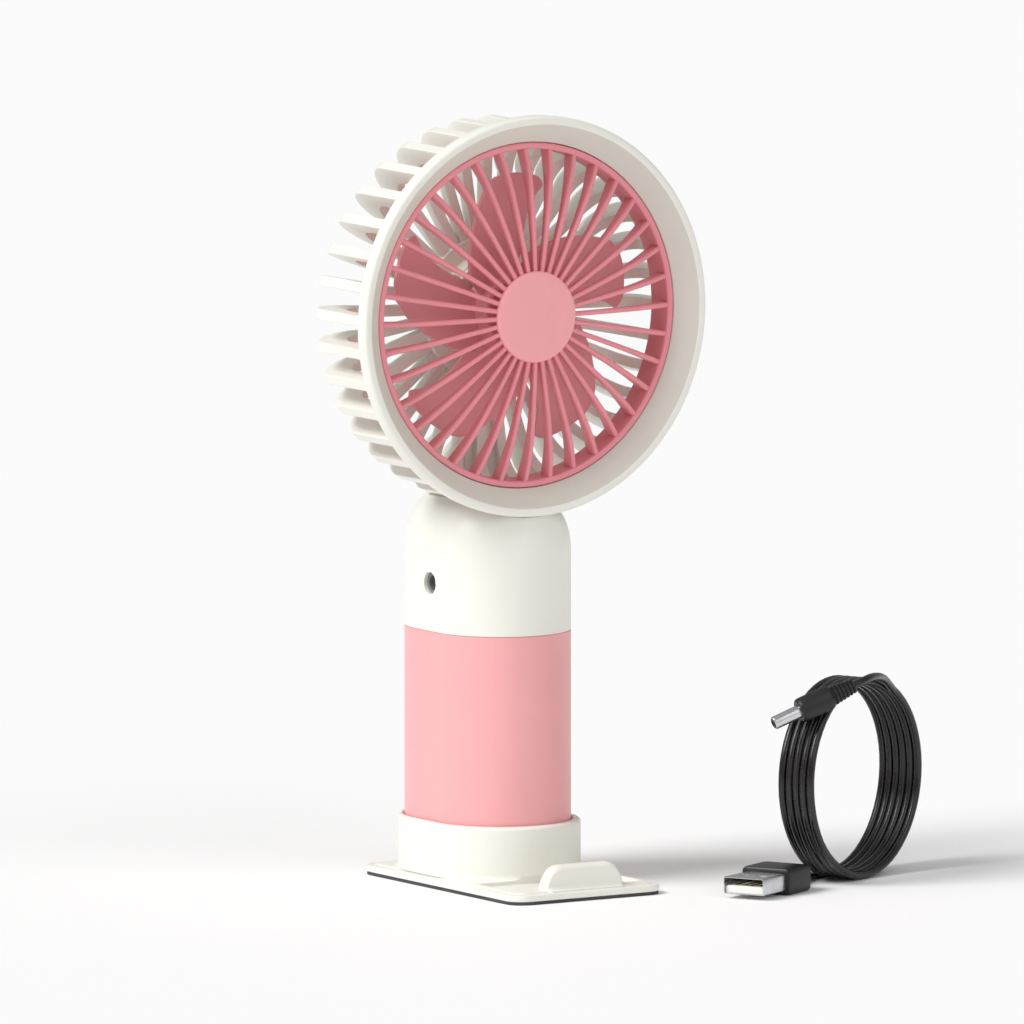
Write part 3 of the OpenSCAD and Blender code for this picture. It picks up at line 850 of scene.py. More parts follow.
@dataclass
class Head:
    """The round head: bezel, grille, cage, badge and impeller, about the fan's axis."""

    palette: Palette
    centre: Vector = field(init=False)
    bezel_r: float = 52.5
    rim: float = 24.0
    grille_r: float = 45.2
    cage_r: float = 50.5
    cage_back: float = 4.6
    spokes: int = 36
    spoke_phase: float = 0.0
    ribs: int = 36
    rib_phase: float = -1.5
    rib_t: float = 2.8
    blades: int = 5
    blade_phase: float = 94.0
    blade_sweep: float = 25.0

    def __post_init__(self) -> None:
        """Find the fan's centre from the bezel's own box."""
        low, high = (Vector(p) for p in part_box("front_bezel"))
        self.centre = Vector(((low.x + high.x) / 2, 0.0, (low.z + high.z) / 2))

    def bezel(self) -> None:
        """Make the cream ring round the grille: band, rolled lip and inner cone, whose front faces get a
        darker cream as painted shade.
        """
        seat, inner, r, f = self.grille_r + 0.2, self.bezel_r - 1.8, self.bezel_r, self.rim
        outline = fillet(
            [(seat, f - 7.4), (seat + 1.5, f - 7.4), (seat + 1.5, f - 5.5), (inner, f - 2.1),
             (inner, f - 3.8), (r, f - 3.8), (r, f), (inner - 0.2, f), (seat, f - 4.8)],
            [0.2, 0.2, 0.5, 0.3, 0.2, 0.35, 1.3, 0.7, 0.45], 6)
        maker = MeshMaker("bezel_ring")
        maker.lathe(self.centre, outline, 192)
        ring = finish_piece(maker.build(50), self.palette, "cream_shell", Body.FAN, ["front_bezel"])
        # the inner cone's front faces get the darker cream, painted shade of the recessed cone
        ring.data.materials.append(self.palette.get("cream_painted_shade"))
        for poly in ring.data.polygons:
            out = (poly.center - self.centre) / MM
            cone = seat < math.hypot(out.x, out.z) < inner - 0.5 and -out.y > f - 4.9
            poly.material_index = int(cone and poly.normal.y < -0.3)

    def grille(self) -> None:
        """Make the pink grille: ring, spokes that rise to the hub, and the plate behind the badge."""
        r, f = self.grille_r, self.rim - 4.8
        maker = MeshMaker("grille_ring")
        maker.lathe(self.centre, fillet(
            [(r - 1.9, f - 8), (r, f - 8), (r, f - 3.7), (r + 1.4, f - 3.7), (r + 1.4, f - 2.7),
             (r, f - 2.7), (r, f), (r - 1.7, f)],
            [0.3, 0.3, 0.2, 0.2, 0.2, 0.2, 0.45, 0.6], 5), 192)
        plate = [(0, f + 1.8), (10.2, f + 1.8), (11.0, f + 2.2), (11.2, f + 3.0), (11.2, f + 4.2),
                 (0, f + 4.2)]
        maker.lathe(self.centre, plate, 96)
        finish_piece(maker.build(40), self.palette, "grille_pink", Body.FAN, ["front_grille"])
        item = self.spoke_item(f)
        ring = RingArray("grille_spokes", self.spokes, self.spoke_phase, self.centre)
        made = ring.build(item, self.palette.get("grille_pink"))
        finish_piece(made, self.palette, "grille_pink", Body.FAN)

    def spoke_item(self, f: float) -> bpy.types.Object:
        """Make one spoke: a blade with a rounded front that deepens towards the ring.

        Args:
            f: distance of the ring's front plane ahead of the axis.

        Returns:
            The spoke at the origin.
        """
        stations = [(10.0, 4.78, 2.7), (14.0, 4.68, 2.6), (20.0, 4.35, 2.2), (24.0, 4.05, 1.7),
                    (28.0, 3.67, 1.1), (31.0, 3.25, 0.4), (34.0, 2.78, -0.4), (36.5, 2.22, -1.3),
                    (39.0, 1.55, -2.4), (41.4, 0.75, -3.6), (43.6, -0.1, -4.6)]
        loops = []
        for r, front, back in stations:
            w = 0.62 + 0.1 * (r / 44)
            shape = [(-w * 0.62, back), (w * 0.62, back), (w * 0.8, back + 0.35)]
            shape += [(w * math.cos(a), front - w + w * math.sin(a))
                      for a in (math.pi * k / 8 for k in range(9))]
            shape += [(-w * 0.8, back + 0.35)]
            loops.append([Vector((r, x, f + z)) * MM for x, z in shape])
        maker = MeshMaker("spoke_item")
        maker.loft(loops)
        return maker.build(50)

    def badge(self) -> None:
        """Make the round badge on the hub, faintly domed with a rolled edge."""
        f = self.rim - 0.55
        outline = [(0, f + 1.45), (6, f + 1.4), (10, f + 1.27)]
        outline += [(11.1 + 0.9 * math.sin(a), f + 0.3 + 0.9 * math.cos(a))
                    for a in (math.pi / 2 * k / 6 for k in range(7))]
        outline += [(12.0, f + 0.02), (11.7, f), (0, f)]
        maker = MeshMaker("hub_badge")
        maker.lathe(self.centre, outline, 128)
        finish_piece(maker.build(45), self.palette, "badge_pink", Body.FAN, ["grille_badge"])

    def rib_outline(self) -> list[Point2]:
        """Draw one L-shaped rib in the plane through the axis.

        Returns:
            Its outline as (radius, distance ahead).
        """
        r, b = self.cage_r, -self.cage_back
        f = self.rim - 3.8
        lobe, mid = 8.0, -0.5
        turn = [math.radians(a) for a in range(220, 361, 7)]
        corners = [(17.0, b), (r - lobe - 7.0, b)]
        corners += [(r - lobe + lobe * math.cos(a), mid + lobe * math.sin(a)) for a in turn]
        radii = [0, 1.0] + [0] * len(turn)
        corners += [(r, f - 0.1), (r - 1.6, f - 0.1), (r - 3.3, f - 1.6), (r - 3.3, 15.2),
                    (r - 4.9, 13.6), (r - 4.9, b + 3.3), (17.0, b + 3.3)]
        return fillet(corners, radii + [0.4, 0.3, 0.3, 0.6, 0.4, 12.0, 0], 9)

    def cage(self) -> None:
        """Make the cream cage: its ribs, and the plate, motor cup, arm and foot that join them."""
        item = plate_item("rib_item", self.rib_outline(), self.rib_t, 1.05, 4)
        ring = RingArray("cage_ribs", self.ribs, self.rib_phase, self.centre)
        made = ring.build(item, self.palette.get("cream_shell"))
        finish_piece(made, self.palette, "cream_shell", Body.FAN, ["rear_cage"])
        maker = MeshMaker("cage_plate")
        b = -self.cage_back
        maker.lathe(self.centre, fillet(
            [(12.3, -9.2), (9.0, -9.2), (9.0, -11.0), (14.3, -11.0), (14.3, b - 0.5), (19.0, b - 0.5),
             (19.0, b + 3.7), (14.3, b + 3.7), (14.3, 3.4), (12.3, 3.4)],
            [0.2, 0.3, 0.4, 0.6, 0.8, 0.9, 0.5, 0.5, 0.3, 0.3], 5), 144)
        post = [(2.4 * math.cos(t), 2.4 * math.sin(t)) for t in (math.pi * j / 16 for j in range(32))]
        for k in range(3):
            a = math.radians(30 + 120 * k)
            maker.loft([[head_point(self.centre, 15.4 * math.cos(a) + x, 15.4 * math.sin(a) + y, z)
                         for x, y in post] for z in (-6.0, 3.3)])
        plate = maker.build(40)
        finish_piece(plate, self.palette, "cream_shell", Body.FAN)
        self.cage_arm()
        self.cage_foot()

    def cage_arm(self) -> None:
        """Make the arm that runs from the motor cup down into the neck and carries the wires."""
        maker = MeshMaker("cage_arm")
        outline = fillet([(-5, 3.6), (5, 3.6), (5, 9.6), (-5, 9.6)], [0.2, 0.2, 1.4, 1.4], 5)
        loops = []
        for up, tuck in ((-52.0, 0.4), (-51.6, 0.0), (-13.0, 0.0), (-12.6, 0.3)):
            loops.append([self.centre + Vector((x * (1 - tuck / 5), y - tuck * (y > 5), up)) * MM
                          for x, y in outline])
        maker.loft(loops)
        finish_piece(maker.build(40), self.palette, "cream_shell", Body.FAN)

    def cage_foot(self) -> None:
        """Make the curved foot that the neck screws into."""
        maker = MeshMaker("cage_foot")
        reach, steps = math.asin(9.0 / 50.7), 14
        back, front = -self.cage_back, 10.9
        outline = fillet([(46.1, back), (50.7, back), (50.7, front), (46.1, front)], 0.7, 3)
        loops = []
        for k in range(steps + 1):
            a = -math.pi / 2 - reach + 2 * reach * k / steps
            loops.append([head_point(self.centre, r * math.cos(a), r * math.sin(a), f)
                          for r, f in outline])
        maker.loft(loops)
        finish_piece(maker.build(40), self.palette, "cream_shell", Body.FAN)

    def impeller(self) -> None:
        """Make the impeller: a domed hub and five broad, twisted blades."""
        maker = MeshMaker("impeller_hub")
        maker.lathe(self.centre, fillet(
            [(3.2, 6.6), (3.2, 14.6), (9.6, 14.6), (9.6, 6.4), (11.0, 6.4), (11.0, 16.4), (1.0, 16.4),
             (1.0, 14.2), (1.02, 6.6)],
            [0.2, 0.5, 0.6, 0.2, 0.3, 1.6, 0.2, 0, 0.1], 6), 96)
        hub = maker.build(40)
        finish_piece(hub, self.palette, "impeller_pink", Body.ROTOR, ["impeller"])
        item = self.blade_item()
        ring = RingArray("impeller_blades", self.blades, self.blade_phase, self.centre)
        made = ring.build(item, self.palette.get("impeller_pink"))
        finish_piece(made, self.palette, "impeller_pink", Body.ROTOR)

    def blade_item(self) -> bpy.types.Object:
        """Make one blade as a twisted, cambered sheet with a rounded outline.

        Returns:
            The blade at the origin, with the axis along z.
        """
        rows, cols = 26, 24
        root, tip, mid, slope = 9.8, 36.4, 10.2, math.tan(math.radians(12.0))
        maker = MeshMaker("blade_item")
        grid: list[Vector] = []
        for i in range(rows + 1):
            u = i / rows
            r = root + (tip - root) * u
            out = (36.5 - r) / 20
            half = min(35.0, 16.4 + 18 * out * out)
            for j in range(cols + 1):
                v = 2 * j / cols - 1
                corner = math.sqrt(max(0.0, 1 - max(0.0, (u - 0.88) / 0.12) ** 2.6 * 0.3))
                angle = math.radians(self.blade_sweep * (out - 0.4) + half * corner * v)
                reach = r - 1.6 * abs(v) ** 6 * u ** 12
                z = mid + slope * reach * math.sin(angle) + 0.6 * (1 - v * v) * u
                grid.append(Vector((reach * math.cos(angle), reach * math.sin(angle), z)) * MM)
        n = cols + 1
        faces = [(i * n + j, i * n + j + 1, (i + 1) * n + j + 1, (i + 1) * n + j)
                 for i in range(rows) for j in range(cols)]
        maker.add(grid, faces)
        item = maker.build(60)
        thick = item.modifiers.new("wall", "SOLIDIFY")
        thick.thickness = 1.3 * MM
        thick.offset = 0
        edge = item.modifiers.new("edge", "BEVEL")
        edge.width, edge.segments, edge.limit_method = 0.4 * MM, 2, "ANGLE"
        bake_modifiers(item)
        tidy(item, 50)
        return item

    def build(self) -> None:
        """Make every piece of the head."""
        self.bezel()
        self.grille()
        self.badge()
        self.cage()
        self.impeller()


# ---------------------------------------------------------------- handle, neck and dock


def stadium(width: float, half_length: float, height: float, shift: float = 0.0, steps: int = 24
            ) -> list[Vector]:
    """Return one level ring with half-round ends.

    Args:
        width: overall width along x, in millimetres.
        half_length: distance of each end's centre from the middle, along y.
        height: the ring's height.
        shift: distance that the ring's middle is moved along y.
        steps: segments in each end.

    Returns:
        The ring's points in metres.
    """
    r = width / 2
    out = []
    for side in (1, -1):
        for k in range(steps + 1):
            a = math.pi * k / steps + (0 if side == 1 else math.pi)
            y = r * math.sin(a) + side * half_length + shift
            out.append(Vector((r * math.cos(a), y, height)) * MM)
    return out


@dataclass
class Handle:
    """The pink sleeve and the cream neck on top of it."""

    palette: Palette
    width: float = 37.2
    half_length: float = 6.0
    seam: float = 66.6
    foot: float = 4.6
    wall: float = 2.0
    dome: float = 87.7
    jack_z: float = 79.2
    jack_y: float = -1.3

    def sleeve(self) -> None:
        """Make the sleeve as a tube with softened ends."""
        w, h = self.width, self.half_length
        maker = MeshMaker("sleeve")
        rows = [(0.0, self.seam - 0.35), (0.35, self.seam - 0.04), (self.wall, self.seam - 0.04),
                (self.wall, self.foot), (0.3, self.foot), (0.0, self.foot + 0.3)]
        maker.loft([stadium(w - 2 * inset, h, z) for inset, z in rows], closed=True)
        finish_piece(maker.build(40), self.palette, "pink_shell", Body.FAN, ["handle_sleeve"])

    def bullet(self, name: str, inset: float, bottom: float) -> bpy.types.Object:
        """Make a solid neck with its rounded top.

        Args:
            name: the object's name.
            inset: how far it is moved in from the outside.
            bottom: height of its lower end.

        Returns:
            The solid.
        """
        r = self.width / 2 - inset
        loops = [stadium(2 * r, self.half_length, bottom), stadium(2 * r, self.half_length, bottom + 6)]
        steps = 20
        for k in range(steps):
            a = math.pi / 2 * k / steps
            loops.append(stadium(2 * r * math.cos(a), self.half_length, self.dome + r * math.sin(a)))
        loops.append(stadium(0.02, self.half_length, self.dome + r))
        maker = MeshMaker(name)
        maker.loft(loops)
        return maker.build(40)

    def drum(self, name: str, centre: Vector, r: float, back: float, front: float) -> bpy.types.Object:
        """Make a plain drum about the fan's axis, to cut with.

        Args:
            name: the object's name.
            centre: the fan's centre.
            r: its radius in millimetres.
            back: distance of its back plane ahead of the centre.
            front: distance of its front plane ahead of the centre.

        Returns:
            The drum.
        """
        maker = MeshMaker(name)
        maker.lathe(centre, [(0, back), (r, back), (r, front), (0, front)], 160)
        return maker.build(40)

    def rod(self, name: str, at: Vector, along: Vector, r: float, length: float) -> bpy.types.Object:
        """Make a plain rod to drill with.

        Args:
            name: the object's name.
            at: where the rod starts, in metres.
            along: the way it points.
            r: its radius in millimetres.
            length: its length in millimetres.

        Returns:
            The rod.
        """
        side = along.orthogonal().normalized()
        up = along.cross(side).normalized()
        maker = MeshMaker(name)
        ring = [(r * math.cos(a), r * math.sin(a)) for a in (2 * math.pi * k / 48 for k in range(48))]
        maker.loft([[at + (side * x + up * y + along.normalized() * z) * MM for x, y in ring]
                    for z in (0, length)])
        return maker.build(40)

    def neck(self, centre: Vector) -> None:
        """Make the hollow neck, cut away where the head sits in it.

        Args:
            centre: the fan's centre.
        """
        shell = self.bullet("neck", 0.0, self.seam)
        inside = self.bullet("neck_inside", self.wall, self.seam - 1)
        cut(inside, self.drum("inside_clear", centre, 52.8, -11.0, 60))
        cut(inside, self.drum("inside_clear_front", centre, 54.8, 17.9, 60))
        cut(shell, inside)
        cut(shell, self.drum("head_clear", centre, 50.8, -9.0, 60))
        cut(shell, self.drum("bezel_clear", centre, 52.8, 19.9, 60))
        drills = [
            (Vector((-30, self.jack_y, self.jack_z)), Vector((1, 0, 0)), 2.9, 16),
            (Vector((0, 15, 84.0)), Vector((0, 1, 0)), 4.55, 20),
            (Vector((0, 15, 92.5)), Vector((0, 1, 0)), 1.3, 20),
        ]
        for at, along, r, length in drills:
            cut(shell, self.rod("drill", at * MM, along, r, length))
        maker = MeshMaker("slot_tool")
        slot = ((-5.3, 3.6), (5.3, 3.6), (5.3, 9.9), (-5.3, 9.9))
        maker.loft([[Vector((x, y, z)) * MM for x, y in slot] for z in (96.2, 110.2)])
        cut(shell, maker.build())
        b = bmesh.new()
        b.from_mesh(shell.data)
        bmesh.ops.dissolve_limit(b, angle_limit=math.radians(0.4), verts=b.verts, edges=b.edges)
        b.to_mesh(shell.data)
        b.free()
        tidy(shell, 32, 1e-6)
        soften(shell, 0.28, 40, 2)
        bake_modifiers(shell)
        finish_piece(shell, self.palette, "cream_shell", Body.FAN, ["neck_shell"])

    def build(self, centre: Vector) -> None:
        """Make the sleeve and the neck."""
        self.sleeve()
        self.neck(centre)


@dataclass
class Dock:
    """The stand: plate with its stepped border, collar, phone lip and dark foot."""

    palette: Palette
    half_w: float = 23.3
    ahead: float = 50.8
    behind: float = 26.3
    corner: float = 5.0

    def outline(self, inset: float, height: float, steps: int = 8) -> list[Vector]:
        """Draw one level ring of the plate.

        Args:
            inset: how far the ring is moved in from the plate's edge.
            height: the ring's height.
            steps: segments in each corner.

        Returns:
            The ring's points in metres.
        """
        x0, x1 = -self.half_w + inset, self.half_w - inset
        y0, y1 = -self.ahead + inset, self.behind - inset
        r = max(0.3, self.corner - inset)
        ring = []
        for cx, cy, start in ((x1 - r, y1 - r, 0), (x0 + r, y1 - r, 90), (x0 + r, y0 + r, 180),
                              (x1 - r, y0 + r, 270)):
            for k in range(steps + 1):
                a = math.radians(start + 90 * k / steps)
                ring.append(Vector((cx + r * math.cos(a), cy + r * math.sin(a), height)) * MM)
        return ring

    def plate(self) -> bpy.types.Object:
        """Make the plate, with its low border round a raised field.

        Returns:
            The solid.
        """
        rows = [(0.5, 0.8), (0.15, 0.95), (0.0, 1.3), (0.0, 2.1), (0.15, 2.45), (0.5, 2.6), (2.05, 2.6),
                (2.2, 2.65), (2.35, 2.9), (2.7, 3.0)]
        maker = MeshMaker("dock_plate")
        maker.loft([self.outline(inset, z) for inset, z in rows])
        return maker.build(45)

    def collar(self) -> bpy.types.Object:
        """Make the solid outside of the collar, with a rolled rim and a small fillet at its foot.

        Returns:
            The solid.
        """
        maker = MeshMaker("dock_collar")
        rows = [(0.0, 1.2), (0.0, 2.9), (-1.1, 3.0), (-0.5, 3.25), (-0.15, 3.7), (0.0, 4.4), (0.0, 15.9),
                (0.12, 16.4), (0.45, 16.75), (0.8, 16.8)]
        back = (self.behind - 0.1) * MM
        rings = [stadium(40.8 - 2 * inset, 6.55, z, -0.85, 32) for inset, z in rows]
        maker.loft([[Vector((p.x, min(p.y, back), p.z)) for p in ring] for ring in rings])
        return maker.build(45)

    def socket(self) -> bpy.types.Object:
        """Make the space that the handle stands in.

        Returns:
            The tool to cut with.
        """
        maker = MeshMaker("dock_socket")
        rows = [(0.35, 3.2), (0.35, 16.3), (0.5, 16.6), (0.85, 17.2)]
        maker.loft([stadium(37.2 + 2 * out, 6.0, z, 0, 32) for out, z in rows])
        return maker.build(45)

    def trough(self) -> bpy.types.Object:
        """Make the space that the phone's edge drops into.

        Returns:
            The tool to cut with.
        """
        maker = MeshMaker("dock_trough")
        outline = fillet([(-20, -43.6), (20, -43.6), (20, -27.0), (-20, -27.0)], 1.5, 5)
        rows = [(0.6, 1.9), (0.15, 2.05), (0.0, 2.4), (0.0, 4.0)]
        maker.loft([[Vector((x * (1 - inset / 20), y + (inset if y < -35 else -inset), z)) * MM
                     for x, y in outline] for inset, z in rows])
        return maker.build(45)

    def lip(self) -> bpy.types.Object:
        """Make the phone lip: an arch from end to end, rounded over its top, with a hollow foot.

        Returns:
            The solid.
        """
        maker = MeshMaker("dock_lip")
        half, stations = 11.8, 48
        back, front, low = -43.6, -48.0, 3.0
        loops = []
        for k in range(stations + 1):
            t = -math.cos(math.pi * k / stations)
            x = half * t
            away = half - abs(x)
            height = 2.2 + 7.1 * min(1.0, math.sqrt(max(0.0, 1 - (1 - min(1.0, away / 5.2)) ** 2.4)))
            foot = 1.5 * max(0.0, min(1.0, (height - 3.0) / 4))
            depth_r = min(1.5, max(0.05, (height - 2.0) / 2.4))
            shape = [(back, 1.4), (back, height - depth_r)]
            shape += [(back - depth_r + depth_r * math.cos(a), height - depth_r + depth_r * math.sin(a))
                      for a in (math.pi / 2 * j / 5 for j in range(1, 6))]
            shape += [(front + depth_r - depth_r * math.sin(a), height - depth_r + depth_r * math.cos(a))
                      for a in (math.pi / 2 * j / 5 for j in range(0, 6))]
            shape += [(front - foot * (1 - math.cos(a)), max(low, low + foot * (1 - math.sin(a))))
                      for a in (math.pi / 2 * j / 4 for j in range(0, 5))]
            shape += [(front - foot, 1.4)]
            loops.append([Vector((x, y, z)) * MM for y, z in shape])
        maker.loft(loops)
        return maker.build(50)

    def build(self) -> None:
        """Make the base as one moulding, and the foot under it."""
        base = self.plate()
        base.name = "dock_stand"
        cut(base, self.collar(), union=True)
        cut(base, self.trough())
        cut(base, self.lip(), union=True)
        cut(base, self.socket())
        tidy(base, 40, 1e-6)
        even = base.modifiers.new("shading", "WEIGHTED_NORMAL")
        even.keep_sharp = True
        bake_modifiers(base)
        finish_piece(base, self.palette, "cream_shell", Body.DOCK, ["dock_base"])
        maker = MeshMaker("dock_foot")
        rows = [(0.45, 0.0), (0.25, 0.1), (0.22, 0.45), (0.3, 0.8)]
        maker.loft([self.outline(inset, z) for inset, z in rows])
        finish_piece(maker.build(60), self.palette, "dark_foot", Body.DOCK, ["dock_pad"])


# ---------------------------------------------------------------- charging lead


def smooth_route(points: Sequence[Vector], steps: int) -> list[Vector]:
    """Run a smooth curve through points.

    Args:
        points: points of the route, in order.
        steps: segments between two points.

    Returns:
        Points of the curve, ends included.
    """
    out = []
    last = len(points) - 1
    for i in range(last):
        a, b, c, d = points[max(i - 1, 0)], points[i], points[i + 1], points[min(i + 2, last)]
        for k in range(steps):
            t = k / steps
            out.append(b + (c - a) * (t / 2) + (a * 2 - b * 5 + c * 4 - d) * (t * t / 2)
                       + (b * 3 - a - c * 3 + d) * (t ** 3 / 2))
    out.append(points[last])
    return out


@dataclass
class Lead:
    """The charging lead: cord, coil, charging plug and USB plug."""

    palette: Palette
    cord_r: float = 1.05
    coil_r: float = 26.5
    turns: float = 5.42
    at: Point2 = (80.5, -49.0)
    yaw_deg: float = 25.0
    half_w: float = 5.83
    plug_route: tuple[Point3, ...] = (
        (12.7, -5.8, 48.5), (9.2, -6.6, 50.6), (5.2, -7.8, 52.4), (1.0, -9.1, 53.5), (-3.2, -10.3, 54.1),
        (-7.0, -11.0, 54.2), (-10.2, -10.9, 53.7), (-13.2, -10.0, 52.8))
    usb_route: tuple[Point3, ...] = (
        (0.0, 5.8, 1.05), (-6.0, 5.8, 1.05), (-11.0, 5.3, 1.3), (-16.0, 4.0, 2.0), (-20.5, 2.8, 2.9),
        (-25.0, 1.7, 3.5))
    plug_yaw: float = 143.0
    plug_drop: float = 22.0
    usb_yaw: float = 184.0
    usb_z: float = 3.5

    def spot(self, p: Sequence[float]) -> Vector:
        """Turn a point of the coil's own frame into the object's frame.

        Args:
            p: the point in millimetres.

        Returns:
            The point in metres.
        """
        turned = Vector(p)
        turned.rotate(Matrix.Rotation(math.radians(self.yaw_deg), 3, "Z"))
        return (turned + Vector((self.at[0], self.at[1], 0))) * MM

    def route(self) -> list[Vector]:
        """Run the cord's centreline from the charging plug to the USB plug.

        Returns:
            Its points in metres.
        """
        start = smooth_route([Vector(p) for p in reversed(self.plug_route)], 4)[:-1]
        end = smooth_route([Vector(p) for p in self.usb_route], 4)[1:]
        turn = []
        radius = self.coil_r - self.cord_r
        first, total = math.radians(30), math.radians(360 * 5 + 150)
        count = 5 * 56 + 24
        for k in range(count + 1):
            s = k / count
            a = first + total * s
            wander = 0.35 * math.sin(2.3 * a) * math.sin(math.pi * s) ** 0.5
            r = radius - abs(wander) * (0.5 - 0.5 * math.cos(a))
            y = -self.half_w + 2 * self.half_w * s
            turn.append(Vector((r * math.sin(a), y, self.coil_r + r * math.cos(a))))
        return [self.spot(p) for p in start + turn + end]

    def tube(self, name: str, path: Sequence[Vector], r: float, sides: int = 14) -> bpy.types.Object:
        """Sweep a round tube along a path, with a map that runs along it.

        Args:
            name: the object's name.
            path: its centreline, in metres.
            r: its radius in millimetres.
            sides: points round it.

        Returns:
            The tube.
        """
        up = Vector((0.31, 0.2, 0.93)).normalized()
        loops = []
        for i, p in enumerate(path):
            ahead = (path[min(i + 1, len(path) - 1)] - path[max(i - 1, 0)]).normalized()
            side = (up - ahead * up.dot(ahead)).normalized()
            up = side
            other = ahead.cross(side)
            loops.append([p + (side * math.cos(a) + other * math.sin(a)) * r * MM
                          for a in (2 * math.pi * j / sides for j in range(sides))])
        maker = MeshMaker(name)
        maker.loft(loops)
        made = maker.build(60)
        layer = made.data.uv_layers.new(name="along")
        for poly in made.data.polygons:
            for loop in poly.loop_indices:
                vertex = made.data.loops[loop].vertex_index
                layer.data[loop].uv = (vertex // sides / 20.0, (vertex % sides) / sides)
        return made

    def turned(self, name: str, base: Vector, axis: Vector, outline: Sequence[Point2], steps: int = 48
               ) -> bpy.types.Object:
        """Turn an outline of (radius, distance) about any axis.

        Args:
            name: the object's name.
            base: where the distance is 0, in metres.
            axis: the axis's direction.
            outline: closed outline, or one that starts and ends on the axis.
            steps: segments round the axis.

        Returns:
            The turned piece.
        """
        maker = MeshMaker(name)
        maker.lathe(Vector(), outline, steps)
        made = maker.build(40)
        turn = Vector((0, -1, 0)).rotation_difference(axis).to_matrix().to_4x4()
        made.data.transform(Matrix.Translation(base) @ turn)
        return made

    def plug_frame(self) -> tuple[Vector, Vector]:
        """Find where the charging plug stands.

        Returns:
            Its start in metres, and the way it points.
        """
        way = Vector((0, 0, 1))
        way.rotate(Matrix.Rotation(math.radians(90 + self.plug_drop), 3, "Y"))
        way.rotate(Matrix.Rotation(math.radians(self.plug_yaw + self.yaw_deg), 3, "Z"))
        return self.spot(self.plug_route[-1]), way

    def charging_plug(self) -> list[bpy.types.Object]:
        """Make the charging plug: ribbed relief, grip, barrel and insulator.

        Returns:
            The plug's pieces.
        """
        base, way = self.plug_frame()
        outline: list[Point2] = [(0, 0)]
        for k in range(6):
            z, r = k * 1.1, 2.0 + 0.13 * k
            outline += [(r - 0.2, z), (r, z + 0.12), (r, z + 0.58), (r - 0.2, z + 0.7), (r - 0.34, z + 0.75),
                        (r - 0.32, z + 1.05)]
        outline += [(2.75, 6.85), (3.1, 7.1), (3.25, 7.6), (3.3, 8.2), (3.3, 15.4), (3.18, 15.95),
                    (2.8, 16.35), (2.2, 16.4), (0, 16.4)]
        body = self.turned("charging_plug_grip", base, way, outline)
        barrel = self.turned("charging_plug_barrel", base, way, fillet(
            [(1.3, 16.4), (1.75, 16.4), (1.75, 24.0), (1.3, 24.0)], [0, 0, 0.3, 0.1], 4), 40)
        core = self.turned("charging_plug_core", base, way, fillet(
            [(0.7, 16.4), (1.29, 16.4), (1.29, 24.15), (0.7, 24.15)], [0, 0, 0.15, 0.15], 3), 32)
        return [
            finish_piece(body, self.palette, "black_plastic", Body.LEAD, ["dc_plug_body"]),
            finish_piece(barrel, self.palette, "plated_steel", Body.LEAD, ["dc_plug_barrel"]),
            finish_piece(core, self.palette, "black_plastic", Body.LEAD, ["dc_plug_insulator"]),
        ]

    def usb_spot(self, x: float, y: float, z: float) -> Vector:
        """Place a point of the USB plug's own frame, whose x points out of its mouth.

        Args:
            x: distance towards the mouth, in millimetres.
            y: distance to the side.
            z: height above the floor.

        Returns:
            The point in metres.
        """
        p = Vector((x, y, 0))
        p.rotate(Matrix.Rotation(math.radians(self.usb_yaw), 3, "Z"))
        foot = self.usb_route[-1]
        return self.spot((p.x + foot[0], p.y + foot[1], z))

    def usb_plug(self) -> list[bpy.types.Object]:
        """Make the USB plug: grip with a tapered tail, folded shell and tongue.

        Returns:
            The plug's pieces.
        """
        maker = MeshMaker("usb_plug_grip")
        rows = [(0.0, 3.4, 1.5), (0.3, 4.0, 2.0), (1.0, 6.1, 2.9), (2.2, 7.0, 3.4), (3.6, 7.2, 3.5),
                (12.9, 7.2, 3.5), (13.7, 7.05, 3.35), (14.0, 6.6, 2.9)]
        loops = []
        for x, w, h in rows:
            ring = fillet([(-w, -h), (w, -h), (w, h), (-w, h)], 1.2, 4)
            loops.append([self.usb_spot(x, y, self.usb_z + z) for y, z in ring])
        maker.loft(loops)
        grip = maker.build(40)
        maker = MeshMaker("usb_plug_shell")
        loops = []
        for x, w, h, r in ((14.0, 6, 2.25, 0.5), (25.7, 6, 2.25, 0.5), (26.0, 5.85, 2.1, 0.4),
                           (26.0, 5.72, 1.97, 0.3), (25.5, 5.7, 1.95, 0.3), (14.0, 5.7, 1.95, 0.3)):
            ring = fillet([(-w, -h), (w, -h), (w, h), (-w, h)], r, 3)
            loops.append([self.usb_spot(x, y, self.usb_z + z) for y, z in ring])
        maker.loft(loops, closed=True)
        shell = maker.build(30)
        for y in (-2.7, 2.7):
            tool = MeshMaker("window_tool")
            tool.loft([[self.usb_spot(x, y + s, z) for x, s in
                        ((19.9, -1.2), (22.3, -1.2), (22.3, 1.2), (19.9, 1.2))] for z in (0.5, 9.0)])
            cut(shell, tool.build())
        tidy(shell, 30, 1e-6)
        maker = MeshMaker("usb_plug_tongue")
        loops = []
        for x, tuck in ((14.0, 0.0), (24.8, 0.0), (25.2, 0.3)):
            ring = fillet([(-5.6, 1.57), (5.6, 1.57), (5.6, 3.42 - tuck), (-5.6, 3.42 - tuck)], 0.15, 2)
            loops.append([self.usb_spot(x, y, z) for y, z in ring])
        maker.loft(loops)
        tongue = maker.build(30)
        return [
            finish_piece(grip, self.palette, "black_plastic", Body.LEAD, ["usb_plug_body"]),
            finish_piece(shell, self.palette, "plated_steel", Body.LEAD, ["usb_shell"]),
            finish_piece(tongue, self.palette, "white_plastic", Body.LEAD, ["usb_tongue"]),
        ]

